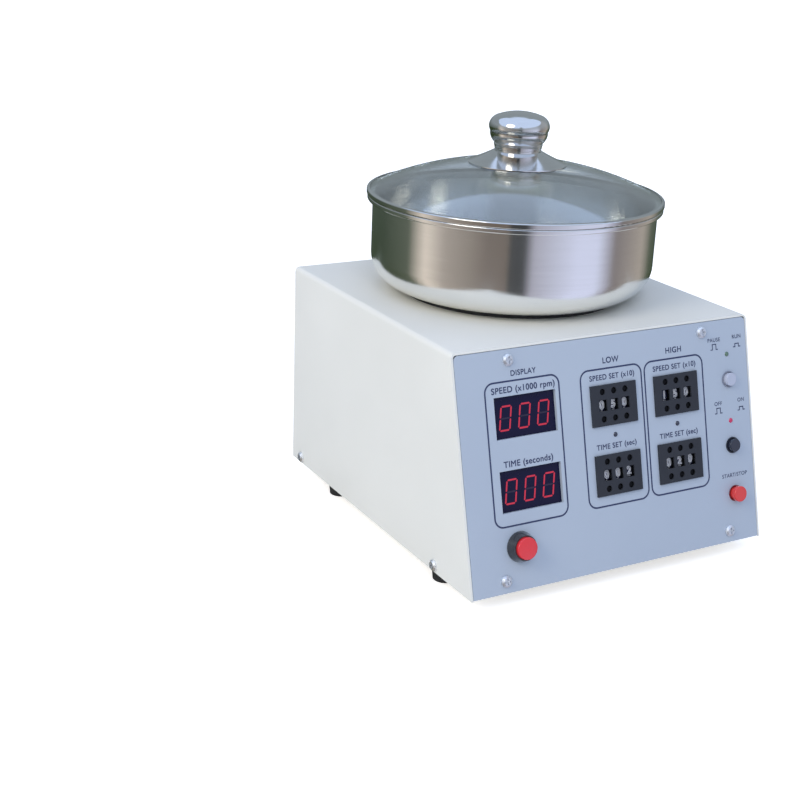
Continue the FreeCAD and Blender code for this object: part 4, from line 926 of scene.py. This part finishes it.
def bold(tree, letters, weight):
    """Letters filled in and made bolder: a flat nib of this width is drawn along their outlines, a hair above."""
    nib_end = math_node(tree, "MULTIPLY", weight, 0.5)
    nib = add(
        tree,
        "GeometryNodeCurvePrimitiveLine",
        Start=add(tree, "ShaderNodeCombineXYZ", X=math_node(tree, "MULTIPLY", nib_end, -1.0)).outputs[0],
        End=add(tree, "ShaderNodeCombineXYZ", X=nib_end).outputs[0],
    )
    level = add(tree, "GeometryNodeSetCurveNormal", {"mode": "Z_UP"}, Curve=letters)
    drawn = add(tree, "GeometryNodeCurveToMesh", Curve=level.outputs[0], Profile_Curve=nib.outputs[0])
    above = add(tree, "GeometryNodeSetPosition", Geometry=drawn.outputs[0], Offset=(0, 0, 0.01 * MM))
    whole = add(tree, "GeometryNodeJoinGeometry", Geometry=above.outputs[0])
    tree.links.new(add(tree, "GeometryNodeFillCurve", Curve=letters).outputs[0], whole.inputs[0])
    return whole.outputs[0]


# %% [markdown]
# ## Figures on the digit wheels
#
# Each pushwheel switch shows three figures. Behind each window sits a wheel with 0 to 9 round its rim, and it turns
# when a key is pressed, so all ten figures must be there. The recipe writes the ten figures, gathers them at one
# spot on the rim, and then turns each about the wheel's axle by its own number of tenths of a turn. They stand to
# the right of the rim's middle, which leaves a dark strip beside them.

# %% Recipe: the ten figures of a wheel
wheel_figures, wheel_in, wheel_out = recipe(
    "wheel_figures",
    [
        ("Radius", "Float", 8.5 * MM),
        ("Aside", "Float", 0.0),
        ("Height", "Float", 4 * MM),
        ("Weight", "Float", 0.9 * MM),
        ("Shown", "Float", 0.0),
        ("Material", "Material", None),
    ],
)
written = add(
    wheel_figures,
    "GeometryNodeStringToCurves",
    {"pivot_mode": "MIDPOINT"},
    String="0123456789",
    Size=wheel_in.outputs["Height"],
)
figure_middle = add(
    wheel_figures,
    "ShaderNodeVectorMath",
    {"operation": "ADD"},
    i0=add(wheel_figures, "GeometryNodeInputPosition").outputs[0],
    i1=written.outputs["Pivot Point"],
)
home = add(wheel_figures, "ShaderNodeVectorMath", {"operation": "SCALE"}, i0=figure_middle.outputs[0], Scale=-1.0)
gathered = add(
    wheel_figures,
    "GeometryNodeTranslateInstances",
    Instances=bold(wheel_figures, written.outputs["Curve Instances"], wheel_in.outputs["Weight"]),
    Translation=home.outputs[0],
    Local_Space=False,
)
# the filled figures and their drawn outlines follow each other in the list, ten and ten
number = math_node(wheel_figures, "MODULO", add(wheel_figures, "GeometryNodeInputIndex").outputs[0], 10.0)
steps = math_node(wheel_figures, "SUBTRACT", number, wheel_in.outputs["Shown"])
turn = math_node(wheel_figures, "MULTIPLY", steps, math.tau / 10)
turn_vector = add(wheel_figures, "ShaderNodeCombineXYZ", X=turn)
turn_rotation = add(wheel_figures, "FunctionNodeEulerToRotation", i0=turn_vector.outputs[0])
lifted_figures = add(
    wheel_figures,
    "GeometryNodeTranslateInstances",
    Instances=gathered.outputs[0],
    Translation=add(
        wheel_figures, "ShaderNodeCombineXYZ", X=wheel_in.outputs["Aside"], Z=wheel_in.outputs["Radius"]
    ).outputs[0],
    Local_Space=False,
)
round_wheel = add(
    wheel_figures,
    "GeometryNodeRotateInstances",
    Instances=lifted_figures.outputs[0],
    Rotation=turn_rotation.outputs[0],
    Pivot_Point=(0, 0, 0),
    Local_Space=False,
)
close_recipe(wheel_figures, wheel_in, wheel_out, round_wheel.outputs[0])

# %% Write the figures on all twelve wheels
SHOWN = {"low_speed": 50, "low_time": 2, "high_speed": 150, "high_time": 20}
FIGURE_HEIGHT = 6.2 * MM
FIGURE_ASIDE = 1.25 * MM
FIGURE_LIFT = 0.03 * MM
for switch, setting in SHOWN.items():
    for digit, figure in zip(("hundreds", "tens", "units"), f"{setting:03d}"):
        wheel = f"{switch}_wheel_{digit}"
        low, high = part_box(wheel)
        wheel_radius = (high.z - low.z) / 2
        figures = made_by(
            wheel_figures,
            Radius=wheel_radius + FIGURE_LIFT,
            Aside=FIGURE_ASIDE,
            Height=FIGURE_HEIGHT,
            Shown=float(figure),
            Material=figure_white,
        )
        axle = Matrix.Translation((low + high) / 2) @ PANEL.to_3x3().to_4x4()
        piece(f"{wheel}_figures", joined(wheel, [(figures, axle)]), wheel)

# %% [markdown]
# ## Glowing figures
#
# A display figure is made of seven bars, and every window shows three figures. A bar is a flat six-sided shape with
# pointed ends, so that neighbouring bars meet at a mitre. The recipe pulls a six-cornered circle into such a bar,
# sets it at up to seven places, leans the figure a little to the right, and repeats it along the row. A switch for
# each bar says whether it is drawn, so one recipe makes the lit bars and the unlit ones.

# %% Recipe: a row of seven-bar figures
# each bar's middle, in bar lengths from the figure's middle, and whether it stands upright
BARS = {
    "Top": (0, 1, False),
    "Upper right": (0.5, 0.5, True),
    "Lower right": (0.5, -0.5, True),
    "Bottom": (0, -1, False),
    "Lower left": (-0.5, -0.5, True),
    "Upper left": (-0.5, 0.5, True),
    "Middle": (0, 0, False),
}
figure_row, row_in, row_out = recipe(
    "figure_row",
    [
        ("Bar length", "Float", 6.7 * MM),
        ("Bar width", "Float", 1.0 * MM),
        ("Gap", "Float", 0.5 * MM),
        ("Pitch", "Float", 12.7 * MM),
        ("Lean", "Float", 0.16),
        ("Material", "Material", None),
    ]
    + [(bar, "Bool", False) for bar in BARS],
)


def row_math(operation, first, second=0.0):
    return math_node(figure_row, operation, first, second)


def row_vector(x=0.0, y=0.0):
    return add(figure_row, "ShaderNodeCombineXYZ", X=x, Y=y).outputs[0]


CORNER_HEIGHT = math.sin(math.radians(60))
half_long = row_math("DIVIDE", row_math("SUBTRACT", row_in.outputs["Bar length"], row_in.outputs["Gap"]), 2.0)
half_wide = row_math("DIVIDE", row_in.outputs["Bar width"], 2.0)
corner = add(figure_row, "ShaderNodeSeparateXYZ", i0=add(figure_row, "GeometryNodeInputPosition").outputs[0])
share_up = row_math("DIVIDE", corner.outputs["Y"], CORNER_HEIGHT)
pulled_in = row_math("MULTIPLY", row_math("ABSOLUTE", share_up), half_wide)
bar_end = row_math("MULTIPLY", row_math("SIGN", corner.outputs["X"]), row_math("SUBTRACT", half_long, pulled_in))
six_corners = add(figure_row, "GeometryNodeMeshCircle", {"fill_type": "NGON"}, Vertices=6)
bar_shape = add(
    figure_row,
    "GeometryNodeSetPosition",
    Geometry=six_corners.outputs[0],
    Position=row_vector(bar_end, row_math("MULTIPLY", share_up, half_wide)),
)
figure_join = add(figure_row, "GeometryNodeJoinGeometry")
for bar, (across, up, upright) in BARS.items():
    stood = add(
        figure_row,
        "GeometryNodeTransform",
        Geometry=bar_shape.outputs[0],
        Translation=row_vector(
            row_math("MULTIPLY", row_in.outputs["Bar length"], across),
            row_math("MULTIPLY", row_in.outputs["Bar length"], up),
        ),
        Rotation=(0, 0, math.radians(90) if upright else 0),
    )
    chosen = add(
        figure_row,
        "GeometryNodeSwitch",
        {"input_type": "GEOMETRY"},
        Switch=row_in.outputs[bar],
        **{"True": stood.outputs[0]},
    )
    figure_row.links.new(chosen.outputs[0], figure_join.inputs[0])
upright_place = add(figure_row, "ShaderNodeSeparateXYZ", i0=add(figure_row, "GeometryNodeInputPosition").outputs[0])
leaning = add(
    figure_row,
    "GeometryNodeSetPosition",
    Geometry=figure_join.outputs[0],
    Offset=row_vector(row_math("MULTIPLY", upright_place.outputs["Y"], row_in.outputs["Lean"])),
)
places = add(
    figure_row,
    "GeometryNodeMeshLine",
    Count=3,
    Start_Location=row_vector(row_math("MULTIPLY", row_in.outputs["Pitch"], -1.0)),
    Offset=row_vector(row_in.outputs["Pitch"]),
)
repeated_figure = add(
    figure_row, "GeometryNodeInstanceOnPoints", Points=places.outputs[0], Instance=leaning.outputs[0]
)
close_recipe(figure_row, row_in, row_out, repeated_figure.outputs[0])

# %% Light the displays
BAR_LIFT = 0.04 * MM
ROW_DROP = 0.5 * MM
zero = {bar.replace(" ", "_"): bar != "Middle" for bar in BARS}
unlit = {bar: not lit for bar, lit in zero.items()}
lit_row = made_by(figure_row, Material=lit_bar, **zero)
unlit_row = made_by(figure_row, Material=dark_bar, **unlit)
rows = []
for window in windows:
    row_place = on_panel(window.x, window.y - ROW_DROP, window_glass + BAR_LIFT)
    rows += [(lit_row, row_place), (unlit_row, row_place)]
piece("display_figures", joined("display_figures", rows), "case")

# %% [markdown]
# ## Printing on the panel
#
# Screen printing is a layer of ink a few hundredths of a millimetre thick. Here it is a flat mesh just above the
# paint. There are three kinds: thin frames that group the controls, labels, and small signs by the push buttons.
# A frame is the area between two rounded rectangles: Fill Curve leaves the inner one open.

# %% Recipe: a printed frame
printed_frame, frame_in, frame_out = recipe(
    "printed_frame",
    [
        ("Width", "Float", 40 * MM),
        ("Height", "Float", 80 * MM),
        ("Corner", "Float", 6 * MM),
        ("Line", "Float", 1.0 * MM),
        ("Material", "Material", None),
    ],
)


def frame_math(operation, first, second):
    return math_node(printed_frame, operation, first, second)


both_sides = frame_math("MULTIPLY", frame_in.outputs["Line"], 2.0)
inner_corner = frame_math("SUBTRACT", frame_in.outputs["Corner"], frame_in.outputs["Line"])
inner_size = [frame_math("SUBTRACT", frame_in.outputs[side], both_sides) for side in ("Width", "Height")]
outer_size = [frame_in.outputs[side] for side in ("Width", "Height")]
frame_join = add(printed_frame, "GeometryNodeJoinGeometry")
for (width, height), corner_radius in ((outer_size, frame_in.outputs["Corner"]), (inner_size, inner_corner)):
    box = add(printed_frame, "GeometryNodeCurvePrimitiveQuadrilateral", Width=width, Height=height)
    rounded = add(
        printed_frame,
        "GeometryNodeFilletCurve",
        {"mode": "POLY"},
        Curve=box.outputs[0],
        Count=8,
        Radius=corner_radius,
        Limit_Radius=True,
    )
    printed_frame.links.new(rounded.outputs[0], frame_join.inputs[0])
between = add(printed_frame, "GeometryNodeFillCurve", Curve=frame_join.outputs[0])
close_recipe(printed_frame, frame_in, frame_out, between.outputs[0])

# %% Recipe: a printed label
printed_label, label_in, label_out = recipe(
    "printed_label",
    [
        ("Words", "String", "ON"),
        ("Height", "Float", 4 * MM),
        ("Spacing", "Float", 1.0),
        ("Weight", "Float", 0.25 * MM),
        ("Material", "Material", None),
    ],
)
words = add(
    printed_label,
    "GeometryNodeStringToCurves",
    {"align_x": "CENTER", "align_y": "MIDDLE"},
    String=label_in.outputs["Words"],
    Size=label_in.outputs["Height"],
    Character_Spacing=label_in.outputs["Spacing"],
)
close_recipe(printed_label, label_in, label_out, bold(printed_label, words.outputs[0], label_in.outputs["Weight"]))

# %% [markdown]
# The sign by each push button is a small plunger over a line: standing tall where the button is out, and lower where
# it is in. A plain mesh of rectangles draws it.


# %% A small sign of rectangles
def plunger_sign(proud):
    """A plunger with its top proud of a base line by this much, or pushed in where it is zero."""
    # the width of the lines, and half the widths of the plunger and of the whole sign
    line, half, base = 0.6 * MM, 1.7 * MM, 2.9 * MM
    top = proud if proud else 1.9 * MM
    bars = [
        (-base, -line, -half, 0),
        (half, -line, base, 0),
        (-half, -line, -half + line, top),
        (half - line, -line, half, top),
        (-half, top - line, half, top),
    ]
    sign = bpy.data.meshes.new("plunger_sign")
    corners = []
    for left, low, right, high in bars:
        corners += [(left, low, 0), (right, low, 0), (right, high, 0), (left, high, 0)]
    sign.from_pydata(corners, [], [tuple(range(first, first + 4)) for first in range(0, len(corners), 4)])
    sign.materials.append(panel_ink)
    return sign


# %% Lay out the printing
INK_LIFT = 0.04 * MM
# left, right, bottom and top edges of each frame on the panel, in millimetres
FRAMES = ((-86.0, -35.5, 37.6, 119.9), (-21.6, 22.9, 37.8, 118.9), (24.3, 68.9, 37.8, 118.9))
BIG, WIDE, SMALL, TINY = 4.8 * MM, 4.9 * MM, 4.3 * MM, 3.3 * MM
# how much bolder the letters are drawn, as shares of their height, and how far apart they stand
LABEL_WEIGHT, TINY_WEIGHT = 0.055, 0.03
LABEL_SPACING = 1.08
display_x = windows[0].x / MM
low_x, high_x = (sum(switch.x for switch in pair) / len(pair) / MM for pair in (switches[:2], switches[2:]))
# across and up the panel in millimetres, the words and their height
LABELS = (
    (display_x, 123.4, "DISPLAY", SMALL),
    (low_x, 122.9, "LOW", BIG),
    (high_x + 0.4, 123.2, "HIGH", BIG),
    (display_x - 0.6, 114.6, "SPEED (x1000 rpm)", WIDE),
    (display_x - 0.8, 72.9, "TIME (seconds)", WIDE),
    (low_x + 0.4, 113.4, "SPEED SET (x10)", SMALL),
    (high_x + 0.4, 113.4, "SPEED SET (x10)", SMALL),
    (low_x + 0.4, 72.9, "TIME SET (sec)", SMALL),
    (high_x + 0.6, 72.9, "TIME SET (sec)", SMALL),
    (78.6, 125.4, "PAUSE", TINY),
    (96.3, 125.8, "RUN", TINY),
    (79.0, 86.5, "OFF", TINY),
    (96.8, 86.9, "ON", TINY),
    (88.3, 41.4, "START/STOP", TINY),
)
# across and up the panel, and how far the plunger stands proud, in millimetres: 0 where it is pushed in
SIGNS = ((78.6, 120.0, 3.2), (96.3, 120.0, 0), (79.0, 81.0, 3.2), (96.8, 81.0, 0))
ink = []
for left, right, bottom, top in FRAMES:
    drawn = made_by(printed_frame, Width=(right - left) * MM, Height=(top - bottom) * MM, Material=panel_ink)
    ink.append((drawn, on_panel((left + right) / 2 * MM, (bottom + top) / 2 * MM, INK_LIFT)))
for across, up, text, height in LABELS:
    weight = height * (TINY_WEIGHT if height == TINY else LABEL_WEIGHT)
    drawn = made_by(
        printed_label, Words=text, Height=height, Spacing=LABEL_SPACING, Weight=weight, Material=panel_ink
    )
    ink.append((drawn, on_panel(across * MM, up * MM, INK_LIFT)))
for across, up, proud in SIGNS:
    ink.append((plunger_sign(proud * MM), on_panel(across * MM, up * MM, INK_LIFT)))
piece("panel_printing", joined("panel_printing", ink), "case")

# %% [markdown]
# ## Finish
#
# The last step sets the plain view transform, notes how big the dressed model is beside the CAD model, and hands the
# scene over.

# %% Hand over
scene.view_settings.view_transform = "Standard"
low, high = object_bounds()
print("dressed model:", [round(side / MM, 1) for side in high - low], "mm")
